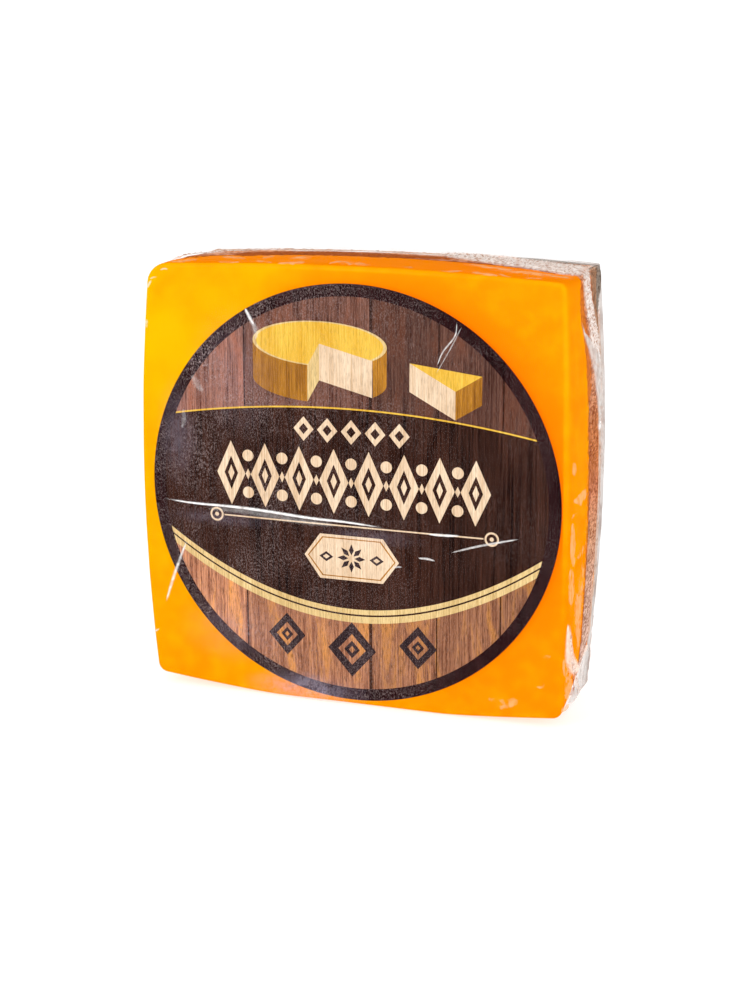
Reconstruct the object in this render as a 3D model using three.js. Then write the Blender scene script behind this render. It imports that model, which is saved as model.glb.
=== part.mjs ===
// A square block of hard cheese in a smooth orange coating, stood on one narrow side. It is sealed
// in clear shrink film, over a round label on the front face and a printed band round the four
// narrow sides. The film and the block inside it are one closed solid, because the film clings to
// the block. The label and the band are solids of their own, each in a shallow seat.
// Units are millimetres. +Z is up, +X runs along the front face, and the front face looks to -Y.
// The origin is at the bottom centre of the whole object.

import * as THREE from 'three';

// ---- Driving dimensions ------------------------------------------------------------------------

const WIDTH = 260;                // between the corners of the square face, along X
const HEIGHT = 260;               // between the corners of the square face, along Z
const DEPTH = 71;                 // from the front face to the back face, along Y
const FRONT_DOME = 1.5;           // how far the front face swells in its middle
const BACK_DOME = 1;
const FRONT_EDGE_RADIUS = 3;
const FOOT_FLAT = 1;              // how much of the bowed bottom is pressed flat where it stands

// How far each narrow side bows out midway between its corners, at the front and at the back.
const FRONT_BOW = { right: 2.7, top: 4, left: 7.5, bottom: 8 };
const BACK_BOW = { right: 5.5, top: 4, left: 5, bottom: 8 };
// How far each narrow side swells midway between the front and the back.
const SIDE_CROWN = { right: 1.4, top: 1, left: 2.5, bottom: 0 };
// Each corner of the square: its shift outwards along X and Z, and its rounding.
const FRONT_CORNERS = {
  topRight: { outX: -2.5, outZ: 1.2, radius: 4 },
  topLeft: { outX: 0, outZ: -0.5, radius: 11 },
  bottomLeft: { outX: 0, outZ: 0, radius: 5 },
  bottomRight: { outX: 1.2, outZ: 0.8, radius: 5 },
};
const BACK_CORNERS = {
  topRight: { outX: -0.5, outZ: 0, radius: 6 },
  topLeft: { outX: -1, outZ: -3, radius: 22 },
  bottomLeft: { outX: -1, outZ: 0, radius: 16 },
  bottomRight: { outX: -0.5, outZ: 3, radius: 5 },
};

// The film's welded seam stands out as a flat fin round the back edge.
const SEAM_BOW = { right: 7, top: 5.1, left: 6, bottom: 7 };
const SEAM_CORNERS = {
  topRight: { outX: 1.6, outZ: 2.6, radius: 1.5 },
  topLeft: { outX: 0, outZ: -2, radius: 17 },
  bottomLeft: { outX: 0, outZ: 0, radius: 8 },
  bottomRight: { outX: -0.9, outZ: 3.8, radius: 3 },
};
const SEAM_THICKNESS = 2;
const SEAM_FROM_BACK = 3.5;       // from the back face to the seam's front side
const SEAM_ROOT = 1.5;            // depth over which the film flares out into the seam
const BACK_EDGE_INSET = 5;

const LABEL_RADIUS = 128.5;
const LABEL_CENTRE = { x: -0.5, z: -4.6 };
const BAND_FRONT = 40;            // from the front face to the band's front edge, midway along a side
const BAND_CORNER_LEAD = 11;      // how much nearer to the front the band lies at the corners
const BAND_WIDTH = 22;
const PRINT_THICKNESS = 0.6;      // of the label and of the band
const PRINT_RECESS = { label: 0.2, band: 0.4 };    // the film's cover over each
const GAP = 0.3;                  // clearance between neighbouring solids

const SIDE_STEPS = 16;            // columns along each side of the square
const CORNER_STEPS = 5;           // columns round each corner

// ---- Loops round the square --------------------------------------------------------------------

const frontY = -DEPTH / 2;
const backY = DEPTH / 2;
const footZ = -(HEIGHT / 2 + FRONT_BOW.bottom - FOOT_FLAT);
const bandFrontY = frontY + BAND_FRONT;
const bandBackY = bandFrontY + BAND_WIDTH;
const seamFrontY = backY - SEAM_FROM_BACK;
const seamRootY = seamFrontY - SEAM_ROOT;
const NO_SWELL = { right: 0, top: 0, left: 0, bottom: 0 };

// 1 in the middle of a side and 0 at its ends; position runs from -1 to 1.
function bow(position) {
  return Math.max(0, 1 - position * position);
}

// Numbers between those of two tables with the same keys.
function blend(from, to, share) {
  const result = {};
  for (const key of Object.keys(from)) {
    const nested = typeof from[key] === 'object';
    result[key] = nested
      ? blend(from[key], to[key], share)
      : THREE.MathUtils.lerp(from[key], to[key], share);
  }
  return result;
}

// A corner of the square, with the centre and radius of its rounding.
function cornerArc({ outX, outZ, radius }, signX, signZ, inset) {
  const arcRadius = Math.max(0.5, radius - inset);
  return {
    x: signX * (WIDTH / 2 + outX - inset - arcRadius),
    z: signZ * (HEIGHT / 2 + outZ - inset - arcRadius),
    radius: arcRadius,
  };
}

function arcPoint(arc, angle) {
  return { x: arc.x + arc.radius * Math.cos(angle), z: arc.z + arc.radius * Math.sin(angle) };
}

// Points of one loop round the square, anticlockwise as seen from the front. The square is drawn
// with straight sides and round corners first, and each side then bows out.
function squareLoop({ y, corners, bows, swell = NO_SWELL, inset = 0, lowest = footZ }) {
  const arcs = [
    cornerArc(corners.topRight, 1, 1, inset),
    cornerArc(corners.topLeft, -1, 1, inset),
    cornerArc(corners.bottomLeft, -1, -1, inset),
    cornerArc(corners.bottomRight, 1, -1, inset),
  ];
  const flat = [];
  arcs.forEach((arc, index) => {
    for (let step = 0; step < CORNER_STEPS; step += 1) {
      flat.push(arcPoint(arc, (index + step / CORNER_STEPS) * Math.PI / 2));
    }
    const sideAngle = (index + 1) * Math.PI / 2;
    const start = arcPoint(arc, sideAngle);
    const end = arcPoint(arcs[(index + 1) % arcs.length], sideAngle);
    for (let step = 0; step < SIDE_STEPS; step += 1) {
      // Equal angles about the middle of the square, so that a circle gets even columns too.
      const share = (1 + Math.tan((step / SIDE_STEPS - 0.5) * Math.PI / 2)) / 2;
      flat.push({
        x: THREE.MathUtils.lerp(start.x, end.x, share),
        z: THREE.MathUtils.lerp(start.z, end.z, share),
      });
    }
  });
  return flat.map(({ x, z }) => {
    const outX = bow(z / (HEIGHT / 2)) * (x > 0 ? bows.right : bows.left)
      + (x > 0 ? swell.right : swell.left);
    const outZ = bow(x / (WIDTH / 2)) * (z > 0 ? bows.top : bows.bottom)
      + (z > 0 ? swell.top : swell.bottom);
    const shiftX = Math.sign(x) * outX * (x / (WIDTH / 2)) ** 2;
    const shiftZ = Math.sign(z) * outZ * (z / (HEIGHT / 2)) ** 2;
    return new THREE.Vector3(x + shiftX, y, Math.max(z + shiftZ, lowest));
  });
}

// How much nearer to the front a loop lies at the corners. It is all of the band's lead along the
// band, and eases to nothing at the front edge and at the seam.
function cornerLead(y) {
  const beforeBand = (y - frontY) / (BAND_FRONT - GAP);
  const behindBand = (seamRootY - y) / (seamRootY - bandBackY - GAP);
  return BAND_CORNER_LEAD * Math.min(1, beforeBand, behindBand);
}

// A loop on the narrow sides, where they swell between the front and the back.
function sideLoop(y, inset = 0) {
  const share = (y - frontY) / DEPTH;
  const loop = squareLoop({
    y,
    corners: blend(FRONT_CORNERS, BACK_CORNERS, share),
    bows: blend(FRONT_BOW, BACK_BOW, share),
    swell: blend(NO_SWELL, SIDE_CROWN, bow(2 * share - 1)),
    inset,
    lowest: footZ + inset,
  });
  const lead = cornerLead(y);
  return loop.map(({ x, z }) => {
    const towardsCorner = Math.min(1, Math.min(Math.abs(x), Math.abs(z)) / (WIDTH / 2));
    return new THREE.Vector3(x, y - lead * towardsCorner ** 2, z);
  });
}

function frontLoop(y, inset) {
  return squareLoop({ y, corners: FRONT_CORNERS, bows: FRONT_BOW, inset });
}

function backLoop(y, inset) {
  return squareLoop({ y, corners: BACK_CORNERS, bows: BACK_BOW, inset });
}

function seamLoop(y) {
  return squareLoop({ y, corners: SEAM_CORNERS, bows: SEAM_BOW });
}

// ---- Loops on the two faces --------------------------------------------------------------------

function frontFaceY(x, z) {
  return frontY - FRONT_DOME * bow(x / (WIDTH / 2)) * bow(z / (HEIGHT / 2));
}

function backFaceY(x, z) {
  return backY + BACK_DOME * bow(x / (WIDTH / 2)) * bow(z / (HEIGHT / 2));
}

const frontRim = frontLoop(frontY, FRONT_EDGE_RADIUS);
const labelColumns = frontRim.map((point) => {
  const column = new THREE.Vector2(point.x - LABEL_CENTRE.x, point.z - LABEL_CENTRE.z);
  return column.normalize();
});

// A circle about the label's centre, this far behind the front face.
function labelCircle(radius, behind) {
  return labelColumns.map((column) => {
    const x = LABEL_CENTRE.x + radius * column.x;
    const z = LABEL_CENTRE.z + radius * column.y;
    return new THREE.Vector3(x, frontFaceY(x, z) + behind, z);
  });
}

function labelMiddle(behind) {
  const { x, z } = LABEL_CENTRE;
  return new THREE.Vector3(x, frontFaceY(x, z) + behind, z);
}

// ---- Closed meshes from loops ------------------------------------------------------------------

function joinLoops(indices, firstLoop, secondLoop, count) {
  for (let column = 0; column < count; column += 1) {
    const next = (column + 1) % count;
    indices.push(firstLoop + column, secondLoop + column, secondLoop + next);
    indices.push(firstLoop + column, secondLoop + next, firstLoop + next);
  }
}

function geometryFrom(points, indices) {
  const geometry = new THREE.BufferGeometry().setFromPoints(points);
  geometry.setIndex(indices);
  geometry.computeVertexNormals();
  return geometry;
}

// A body from a front point, through the loops in order, to a back point.
function cappedLoft(frontPoint, loops, backPoint) {
  const count = loops[0].length;
  const points = [...loops.flat(), frontPoint, backPoint];
  const frontIndex = points.length - 2;
  const backIndex = points.length - 1;
  const lastLoop = (loops.length - 1) * count;
  const indices = [];
  for (let column = 0; column < count; column += 1) {
    const next = (column + 1) % count;
    indices.push(frontIndex, column, next);
    indices.push(backIndex, lastLoop + next, lastLoop + column);
  }
  for (let loop = 0; loop + 1 < loops.length; loop += 1) {
    joinLoops(indices, loop * count, (loop + 1) * count, count);
  }
  return geometryFrom(points, indices);
}

// A body that goes right round, whose last loop joins its first.
function ringLoft(loops) {
  const count = loops[0].length;
  const indices = [];
  for (let loop = 0; loop < loops.length; loop += 1) {
    joinLoops(indices, loop * count, ((loop + 1) % loops.length) * count, count);
  }
  return geometryFrom(loops.flat(), indices);
}

// ---- Sub-parts ---------------------------------------------------------------------------------

const FACE_RINGS = [0.25, 0.5, 0.75];    // circles between the label's centre and its rim

function wrappedBlock() {
  const seatDepth = PRINT_RECESS.label + PRINT_THICKNESS + GAP;
  const seatRadius = LABEL_RADIUS + GAP;
  const seatRim = labelCircle(seatRadius, 0);
  const faceMiddle = seatRim.map((point, column) => {
    const middle = point.clone().lerp(frontRim[column], 0.5);
    middle.y = frontFaceY(middle.x, middle.z);
    return middle;
  });
  const labelSeat = [
    ...FACE_RINGS.map((share) => labelCircle(share * seatRadius, seatDepth)),
    labelCircle(seatRadius, seatDepth),
    seatRim,
  ];
  const frontEdge = [30, 60, 90].map((degrees) => {
    const angle = THREE.MathUtils.degToRad(degrees);
    const inset = FRONT_EDGE_RADIUS * (1 - Math.sin(angle));
    return frontLoop(frontY + FRONT_EDGE_RADIUS * (1 - Math.cos(angle)), inset);
  });
  const bandSeatFront = bandFrontY - GAP;
  const bandSeatBack = bandBackY + GAP;
  const bandSeatDepth = PRINT_RECESS.band + PRINT_THICKNESS + GAP;
  const sides = [
    sideLoop(frontY + DEPTH * 0.16),
    sideLoop(frontY + DEPTH * 0.34),
    sideLoop(bandSeatFront),
    sideLoop(bandSeatFront, bandSeatDepth),
    sideLoop((bandSeatFront + bandSeatBack) / 2, bandSeatDepth),
    sideLoop(bandSeatBack, bandSeatDepth),
    sideLoop(bandSeatBack),
  ];
  const seam = [
    sideLoop(seamRootY),
    seamLoop(seamFrontY),
    seamLoop(seamFrontY + SEAM_THICKNESS),
  ];
  const backRim = backLoop(backY, BACK_EDGE_INSET);
  const backFace = [0.66, 0.33].map((share) => backRim.map(({ x, z }) => (
    new THREE.Vector3(x * share, backFaceY(x * share, z * share), z * share)
  )));
  const loops = [
    ...labelSeat, faceMiddle, frontRim, ...frontEdge, ...sides, ...seam,
    backLoop(backY - 0.5, 1.5), backRim, ...backFace,
  ];
  return cappedLoft(labelMiddle(seatDepth), loops, new THREE.Vector3(0, backFaceY(0, 0), 0));
}

function roundLabel() {
  const face = PRINT_RECESS.label;
  const underside = face + PRINT_THICKNESS;
  const rings = [...FACE_RINGS, 1].map((share) => share * LABEL_RADIUS);
  const loops = [
    ...rings.map((radius) => labelCircle(radius, face)),
    ...rings.toReversed().map((radius) => labelCircle(radius, underside)),
  ];
  return cappedLoft(labelMiddle(face), loops, labelMiddle(underside));
}

function sideBand() {
  const stations = [bandFrontY, (bandFrontY + bandBackY) / 2, bandBackY];
  const outside = PRINT_RECESS.band;
  const inside = outside + PRINT_THICKNESS;
  return ringLoft([
    ...stations.map((y) => sideLoop(y, outside)),
    ...stations.toReversed().map((y) => sideLoop(y, inside)),
  ]);
}

function subPart(name, geometry, finish) {
  const mesh = new THREE.Mesh(geometry, new THREE.MeshStandardMaterial(finish));
  mesh.name = name;
  return mesh;
}

// ---- Assembly ----------------------------------------------------------------------------------

const cheese = new THREE.Group();
cheese.add(
  subPart('wrapped_block', wrappedBlock(), { color: 0xff9d05, roughness: 0.3, metalness: 0 }),
  subPart('round_label', roundLabel(), { color: 0x4a2f28, roughness: 0.55, metalness: 0 }),
  subPart('side_band', sideBand(), { color: 0xc07a4e, roughness: 0.55, metalness: 0 }),
);

const extent = new THREE.Box3().setFromObject(cheese);
const middle = extent.getCenter(new THREE.Vector3());
cheese.position.set(-middle.x, -middle.y, -extent.min.z);

export default cheese;
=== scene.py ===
"""The looks of a film-wrapped square block of hard cheese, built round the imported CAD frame.

The wrapped_block solid becomes a cheese block in an orange coating, the clear shrink film round it,
and the film's pleats, creases and welded edge. The round label and the band get thin printed sheets
in the places of their solids. Shapes are in millimetres about the block's centre, as in the part's
source, and place() turns them into the frame's metres.
"""

import math

import bpy
import numpy as np
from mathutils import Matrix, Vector, noise
from mathutils.bvhtree import BVHTree
from mathutils.geometry import delaunay_2d_cdt


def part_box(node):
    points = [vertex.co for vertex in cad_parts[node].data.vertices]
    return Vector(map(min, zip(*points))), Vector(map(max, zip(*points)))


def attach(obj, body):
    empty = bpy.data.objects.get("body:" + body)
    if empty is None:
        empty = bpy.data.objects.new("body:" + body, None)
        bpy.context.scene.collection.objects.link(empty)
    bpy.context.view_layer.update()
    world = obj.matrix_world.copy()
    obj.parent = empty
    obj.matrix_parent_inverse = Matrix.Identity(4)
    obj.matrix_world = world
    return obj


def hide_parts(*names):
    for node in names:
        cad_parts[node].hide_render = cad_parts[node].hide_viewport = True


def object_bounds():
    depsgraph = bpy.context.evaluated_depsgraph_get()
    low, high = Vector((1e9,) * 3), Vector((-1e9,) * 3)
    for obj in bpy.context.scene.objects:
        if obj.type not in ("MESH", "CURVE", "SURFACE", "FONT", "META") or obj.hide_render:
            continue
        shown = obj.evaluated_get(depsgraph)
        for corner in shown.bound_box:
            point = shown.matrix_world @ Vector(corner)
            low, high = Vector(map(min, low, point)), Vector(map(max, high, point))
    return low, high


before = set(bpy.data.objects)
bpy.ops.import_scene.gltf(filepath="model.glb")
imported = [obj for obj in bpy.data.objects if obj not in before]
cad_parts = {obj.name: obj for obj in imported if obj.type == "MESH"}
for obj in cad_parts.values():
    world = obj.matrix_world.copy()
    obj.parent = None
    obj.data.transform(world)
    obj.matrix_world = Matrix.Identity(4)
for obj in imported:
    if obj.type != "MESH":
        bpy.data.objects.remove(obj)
cad_low, cad_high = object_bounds()

# ---- The block's form, as in the part's source, in millimetres ----

MM = 0.001
WIDTH = 260.0
HEIGHT = 260.0
DEPTH = 71.0
FRONT_DOME = 1.5
BACK_DOME = 1.0
FRONT_EDGE_RADIUS = 3.0
FOOT_FLAT = 1.0

# How far each narrow side bows out: right, top, left, bottom.
FRONT_BOW = np.array([2.7, 4.0, 7.5, 8.0])
BACK_BOW = np.array([5.5, 4.0, 5.0, 8.0])
SEAM_BOW = np.array([7.0, 5.1, 6.0, 7.0])
SIDE_CROWN = np.array([1.4, 1.0, 2.5, 0.0])
# Corners: shift outwards along X and Z, and rounding; top right, top left, bottom left, bottom right.
FRONT_CORNERS = np.array([[-2.5, 1.2, 4], [0, -0.5, 11], [0, 0, 5], [1.2, 0.8, 5]], dtype=float)
BACK_CORNERS = np.array([[-0.5, 0, 6], [-1, -3, 22], [-1, 0, 16], [-0.5, 3, 5]], dtype=float)
SEAM_CORNERS = np.array([[1.6, 2.6, 1.5], [0, -2, 17], [0, 0, 8], [-0.9, 3.8, 3]], dtype=float)
# The cheese itself is rounder than the film at the back, where the film spans its corners.
CHEESE_BACK_CORNERS = np.array([[-0.5, 0, 7], [-1, -3, 24], [-1, 0, 20], [-0.5, 0.5, 36]], dtype=float)

SEAM_THICKNESS = 2.0
SEAM_FROM_BACK = 3.5
SEAM_ROOT = 1.5
BACK_EDGE_INSET = 5.0
LABEL_RADIUS = 128.5
LABEL_CENTRE = np.array([-0.5, -4.6])
BAND_FRONT = 40.0
BAND_CORNER_LEAD = 11.0
BAND_WIDTH = 22.0
GAP = 0.3
SMALLEST_ROUNDING = 0.5

FRONT_Y = -DEPTH / 2
BACK_Y = DEPTH / 2
FOOT_Z = -(HEIGHT / 2 + FRONT_BOW[3] - FOOT_FLAT)
BAND_BACK_Y = FRONT_Y + BAND_FRONT + BAND_WIDTH
SEAM_FRONT_Y = BACK_Y - SEAM_FROM_BACK
SEAM_ROOT_Y = SEAM_FRONT_Y - SEAM_ROOT

# Depth of each layer below the film's outside.
CHEESE_DEPTH = 0.5
LABEL_DEPTH = 0.2
LABEL_SHEET = 0.2
BAND_DEPTH = 0.2
BAND_SHEET = 0.2


def frame_offset():
    """Where the block's centre lies in the frame, in metres."""
    label_low, label_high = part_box("round_label")
    _, band_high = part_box("side_band")
    x = (label_low[0] + label_high[0]) / 2 - LABEL_CENTRE[0] * MM
    y = band_high[1] - BAND_BACK_Y * MM
    z = cad_low[2] - FOOT_Z * MM
    return np.array([x, y, z])


OFFSET = frame_offset()


def place(points):
    """Block coordinates in millimetres, as frame coordinates in metres."""
    return np.asarray(points, dtype=float) * MM + OFFSET


def bow(position):
    return np.maximum(0.0, 1 - position * position)


def corner_arcs(corners, inset):
    """The centre and radius of each corner's rounding."""
    arcs = []
    for (out_x, out_z, radius), (sign_x, sign_z) in zip(corners, ((1, 1), (-1, 1), (-1, -1), (1, -1))):
        arc_radius = max(SMALLEST_ROUNDING, radius - inset)
        centre_x = sign_x * (WIDTH / 2 + out_x - inset - arc_radius)
        centre_z = sign_z * (HEIGHT / 2 + out_z - inset - arc_radius)
        arcs.append((centre_x, centre_z, arc_radius))
    return arcs


def square_loop(
    y, corners, bows, swell=np.zeros(4), inset=0.0, lowest=FOOT_Z, side_steps=96, corner_steps=12,
):
    """One loop round the square, anticlockwise as seen from the front, starting at the right."""
    arcs = corner_arcs(corners, inset)
    flat = []
    for index, (centre_x, centre_z, radius) in enumerate(arcs):
        for step in range(corner_steps):
            angle = (index + step / corner_steps) * math.pi / 2
            flat.append((centre_x + radius * math.cos(angle), centre_z + radius * math.sin(angle)))
        side_angle = (index + 1) * math.pi / 2
        next_x, next_z, next_radius = arcs[(index + 1) % 4]
        outwards = np.array([math.cos(side_angle), math.sin(side_angle)])
        start = (centre_x, centre_z) + radius * outwards
        end = (next_x, next_z) + next_radius * outwards
        for step in range(side_steps):
            share = (1 + math.tan((step / side_steps - 0.5) * math.pi / 2)) / 2
            flat.append(tuple(start + (end - start) * share))
    x, z = np.array(flat).T
    right, top, left, bottom = range(4)
    out_x = bow(z / (HEIGHT / 2)) * np.where(x > 0, bows[right], bows[left])
    out_x += np.where(x > 0, swell[right], swell[left])
    out_z = bow(x / (WIDTH / 2)) * np.where(z > 0, bows[top], bows[bottom])
    out_z += np.where(z > 0, swell[top], swell[bottom])
    x = x + np.sign(x) * out_x * (x / (WIDTH / 2)) ** 2
    z = np.maximum(z + np.sign(z) * out_z * (z / (HEIGHT / 2)) ** 2, lowest)
    return np.stack([x, np.full_like(x, y), z], axis=1)


def corner_lead(y):
    """How much nearer to the front a loop lies at the corners: all of the band's lead along it."""
    before_band = (y - FRONT_Y) / (BAND_FRONT - GAP)
    behind_band = (SEAM_ROOT_Y - y) / (SEAM_ROOT_Y - BAND_BACK_Y - GAP)
    return BAND_CORNER_LEAD * max(0.0, min(1.0, before_band, behind_band))


def side_loop(y, inset=0.0, back_corners=BACK_CORNERS, **steps):
    """A loop on the narrow sides, where they swell between the front and the back."""
    share = (y - FRONT_Y) / DEPTH
    corners = FRONT_CORNERS + (back_corners - FRONT_CORNERS) * share
    bows = FRONT_BOW + (BACK_BOW - FRONT_BOW) * share
    swell = SIDE_CROWN * bow(2 * share - 1)
    loop = square_loop(y, corners, bows, swell, inset, FOOT_Z + inset, **steps)
    towards_corner = np.minimum(1.0, np.minimum(abs(loop[:, 0]), abs(loop[:, 2])) / (WIDTH / 2))
    loop[:, 1] -= corner_lead(y) * towards_corner ** 2
    return loop


def front_face_y(x, z):
    return FRONT_Y - FRONT_DOME * bow(x / (WIDTH / 2)) * bow(z / (HEIGHT / 2))


def back_face_y(x, z):
    return BACK_Y + BACK_DOME * bow(x / (WIDTH / 2)) * bow(z / (HEIGHT / 2))


def face_rings(rim, face_y, depth, shares):
    """Loops across a face, each a share of the rim's size, this far below the film."""
    rings = []
    for share in shares:
        ring = rim * share
        ring[:, 1] = face_y(ring[:, 0], ring[:, 2]) + depth
        rings.append(ring)
    return rings


# ---- Meshes ----

def capped_loft(loops, front_point, back_point):
    """Points and faces of a closed body through the loops, from front to back."""
    count = len(loops[0])
    points = np.concatenate([*loops, [front_point], [back_point]])
    front_index, back_index = len(points) - 2, len(points) - 1
    last = (len(loops) - 1) * count
    faces = []
    for column in range(count):
        following = (column + 1) % count
        faces.append((front_index, column, following))
        faces.append((back_index, last + following, last + column))
        for loop in range(len(loops) - 1):
            near, far = loop * count, (loop + 1) * count
            faces.append((near + column, far + column, far + following, near + following))
    return points, faces


def ring_loft(loops):
    """Points and faces of a body that goes right round, whose last loop joins its first."""
    count = len(loops[0])
    faces = []
    for loop in range(len(loops)):
        near, far = loop * count, (loop + 1) % len(loops) * count
        for column in range(count):
            following = (column + 1) % count
            faces.append((near + column, far + column, far + following, near + following))
    return np.concatenate(loops), faces


SHARP_ANGLE = math.radians(50)


def make_piece(name, points, faces, materials, nodes, face_materials=None, marks=None, shades=True):
    """A mesh object in the frame, which rides on the block and stands for the CAD nodes.

    marks are numbers for its points, which its materials read by name. Film doesn't shade what is
    under it, because the light that its haze scatters still falls there.
    """
    mesh = bpy.data.meshes.new(name)
    mesh.from_pydata(place(points).tolist(), [], faces)
    for material in materials:
        mesh.materials.append(material)
    if face_materials is not None:
        mesh.polygons.foreach_set("material_index", face_materials)
    for mark, values in (marks or {}).items():
        mesh.attributes.new(mark, "FLOAT", "POINT").data.foreach_set("value", values)
    mesh.shade_smooth()
    mesh.set_sharp_from_angle(angle=SHARP_ANGLE)
    mesh.validate()
    piece = bpy.data.objects.new(name, mesh)
    piece.visible_shadow = shades
    piece.visible_diffuse = shades
    bpy.context.scene.collection.objects.link(piece)
    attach(piece, "root")
    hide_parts(*nodes)


# ---- Shader helpers ----

def srgb(red, green, blue):
    """A colour given as it looks on screen, 0 to 255, as linear RGBA."""
    def linear(value):
        value /= 255
        return value / 12.92 if value <= 0.04045 else ((value + 0.055) / 1.055) ** 2.4
    return (linear(red), linear(green), linear(blue), 1.0)


WHITE = (1.0, 1.0, 1.0, 1.0)


class Shader:
    """Builds one material's nodes. Every method but finish and finish_opaque returns a socket."""

    def __init__(self, name):
        self.material = bpy.data.materials.new(name)
        self.material.use_nodes = True
        self.nodes = self.material.node_tree.nodes
        self.links = self.material.node_tree.links
        self.nodes.clear()
        self.output = self.nodes.new("ShaderNodeOutputMaterial")
        self.position = self.node("TexCoord", output="Object")

    def node(self, kind, inputs=None, output=0, **settings):
        node = self.nodes.new("ShaderNode" + kind)
        for key, value in settings.items():
            setattr(node, key, value)
        for key, value in (inputs or {}).items():
            if isinstance(value, bpy.types.NodeSocket):
                self.links.new(value, node.inputs[key])
            else:
                node.inputs[key].default_value = value
        return node.outputs[output]

    def add(self, first, second):
        return self.node("Math", {0: first, 1: second}, operation="ADD")

    def times(self, first, second, clamp=False):
        return self.node("Math", {0: first, 1: second}, operation="MULTIPLY", use_clamp=clamp)

    def mix(self, factor, first, second, blend="MIX"):
        return self.node("Mix", {0: factor, 6: first, 7: second}, 2, data_type="RGBA", blend_type=blend)

    def mark(self, name):
        """The numbers that a piece's points carry under this name."""
        return self.node("Attribute", output="Fac", attribute_name=name)

    def coordinate(self, axis):
        return self.node("SeparateXYZ", {0: self.position}, axis)

    def length(self, vector):
        return self.node("VectorMath", {0: vector}, "Value", operation="LENGTH")

    def dot(self, vector, direction):
        return self.node("VectorMath", {0: vector, 1: direction}, "Value", operation="DOT_PRODUCT")

    def stretched(self, scale, turn=(0.0, 0.0, 0.0)):
        """The position, stretched by a scale along each axis."""
        return self.node("Mapping", {"Vector": self.position, "Scale": scale, "Rotation": turn})

    def noise(self, scale, vector=None, detail=3.0, roughness=0.55, distortion=0.0):
        names = ("Vector", "Scale", "Detail", "Roughness", "Distortion")
        values = (vector or self.position, scale, detail, roughness, distortion)
        return self.node("TexNoise", dict(zip(names, values)))

    def fit(self, value, low, high, to_low=0.0, to_high=1.0, kind="LINEAR"):
        """value between low and high, carried over to between to_low and to_high."""
        inputs = {0: value, 1: low, 2: high, 3: to_low, 4: to_high}
        return self.node("MapRange", inputs, interpolation_type=kind)

    def ramp(self, factor, stops, interpolation="LINEAR"):
        node = self.nodes.new("ShaderNodeValToRGB")
        node.color_ramp.interpolation = interpolation
        elements = node.color_ramp.elements
        while len(elements) < len(stops):
            elements.new(1.0)
        for element, (place_on_ramp, colour) in zip(elements, stops):
            element.position = place_on_ramp
            element.color = colour
        self.links.new(factor, node.inputs[0])
        return node.outputs[0]

    def blob(self, centre, radii):
        """1 at a place given in block coordinates, falling smoothly to 0 at these radii."""
        scale = [1 / (radius * MM) for radius in radii]
        offset = [-value * factor for value, factor in zip(place(centre), scale)]
        vector = self.node("Mapping", {"Vector": self.position, "Location": offset, "Scale": scale})
        return self.fit(self.length(vector), 0.0, 1.0, 1.0, 0.0, "SMOOTHSTEP")

    def bump(self, height, strength, distance):
        return self.node("Bump", {"Height": height, "Strength": strength, "Distance": distance})

    def finish(self, surface):
        self.links.new(surface, self.output.inputs["Surface"])
        return self.material

    def finish_opaque(self, colour, variation, roughness, relief, strength, distance=0.0004):
        """An opaque surface, whose roughness varies between two values."""
        return self.finish(self.node("BsdfPrincipled", {
            "Base Color": colour,
            "Roughness": self.fit(variation, 0.3, 0.7, *roughness),
            "Specular IOR Level": 0.0,
            "Normal": self.bump(relief, strength, distance),
        }))


# ---- Opaque materials ----

UPPER_RIGHT = (0.9, 0.0, 0.45)
TO_LOWER_RIGHT = (1.0, 0.0, -0.7)


def label_rim_shade(shader, reach):
    """A painted shade: 1 along the label's upper right rim, falling to 0 this many millimetres outside it.
    """
    centre = place((LABEL_CENTRE[0], 0, LABEL_CENTRE[1]))
    vector = shader.node("Mapping", {
        "Vector": shader.position,
        "Location": (-centre[0], 0.0, -centre[2]),
        "Scale": (1.0, 0.0, 1.0),
    })
    radius = LABEL_RADIUS * MM
    near = shader.fit(shader.length(vector), radius, radius + reach * MM, 1.0, 0.0, "SMOOTHSTEP")
    return shader.times(near, shader.fit(shader.dot(vector, UPPER_RIGHT), -0.2 * radius, 0.8 * radius))


def cheese_coating():
    """A smooth, cloudy orange coating with painted light and shade: yellower at the top left and deeper
    towards the right, as if lit from the upper left, with painted shade beside the label and on the upper
    side, and a painted highlight on the front edge.
    """
    shader = Shader("orange_coating")
    cloud = shader.noise(20.0, distortion=0.4)
    mottle = shader.noise(85.0, detail=5.0, roughness=0.6)
    # Painted light and shade: yellow at the top left to deep orange at the lower right, as if lit from the
    # upper left.
    painted_light_slope = shader.dot(shader.position, TO_LOWER_RIGHT)
    painted_light_slope = shader.fit(painted_light_slope, cad_low[0] + TO_LOWER_RIGHT[2] * cad_high[2], cad_high[0])
    colour = shader.ramp(painted_light_slope, [
        (0.0, srgb(255, 192, 0)),
        (0.45, srgb(255, 150, 0)),
        (0.8, srgb(255, 148, 0)),
        (1.0, srgb(255, 134, 0)),
    ])
    colour = shader.mix(shader.fit(cloud, 0.38, 0.66, 0.0, 0.5), colour, srgb(255, 138, 0))
    colour = shader.mix(shader.fit(mottle, 0.44, 0.7, 0.0, 0.34), colour, srgb(255, 190, 6))
    face = shader.mark("face")
    # Painted shade beside the label's upper right rim: a wide, faint one and a narrow, deep one.
    for reach, strength, tone in ((24.0, 0.85, srgb(255, 124, 0)), (3.5, 0.7, srgb(255, 108, 0))):
        share = shader.times(label_rim_shade(shader, reach), shader.times(face, strength))
        colour = shader.mix(share, colour, tone)
    # A painted highlight along the front edge, and painted shade on the upper side.
    for mark, strength, tone in (("edge_highlight", 0.5, srgb(255, 196, 8)), ("upper", 0.8, srgb(255, 130, 0))):
        colour = shader.mix(shader.times(shader.mark(mark), strength), colour, tone)
    return shader.finish_opaque(colour, mottle, (0.42, 0.55), mottle, 0.12, 0.0006)


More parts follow.
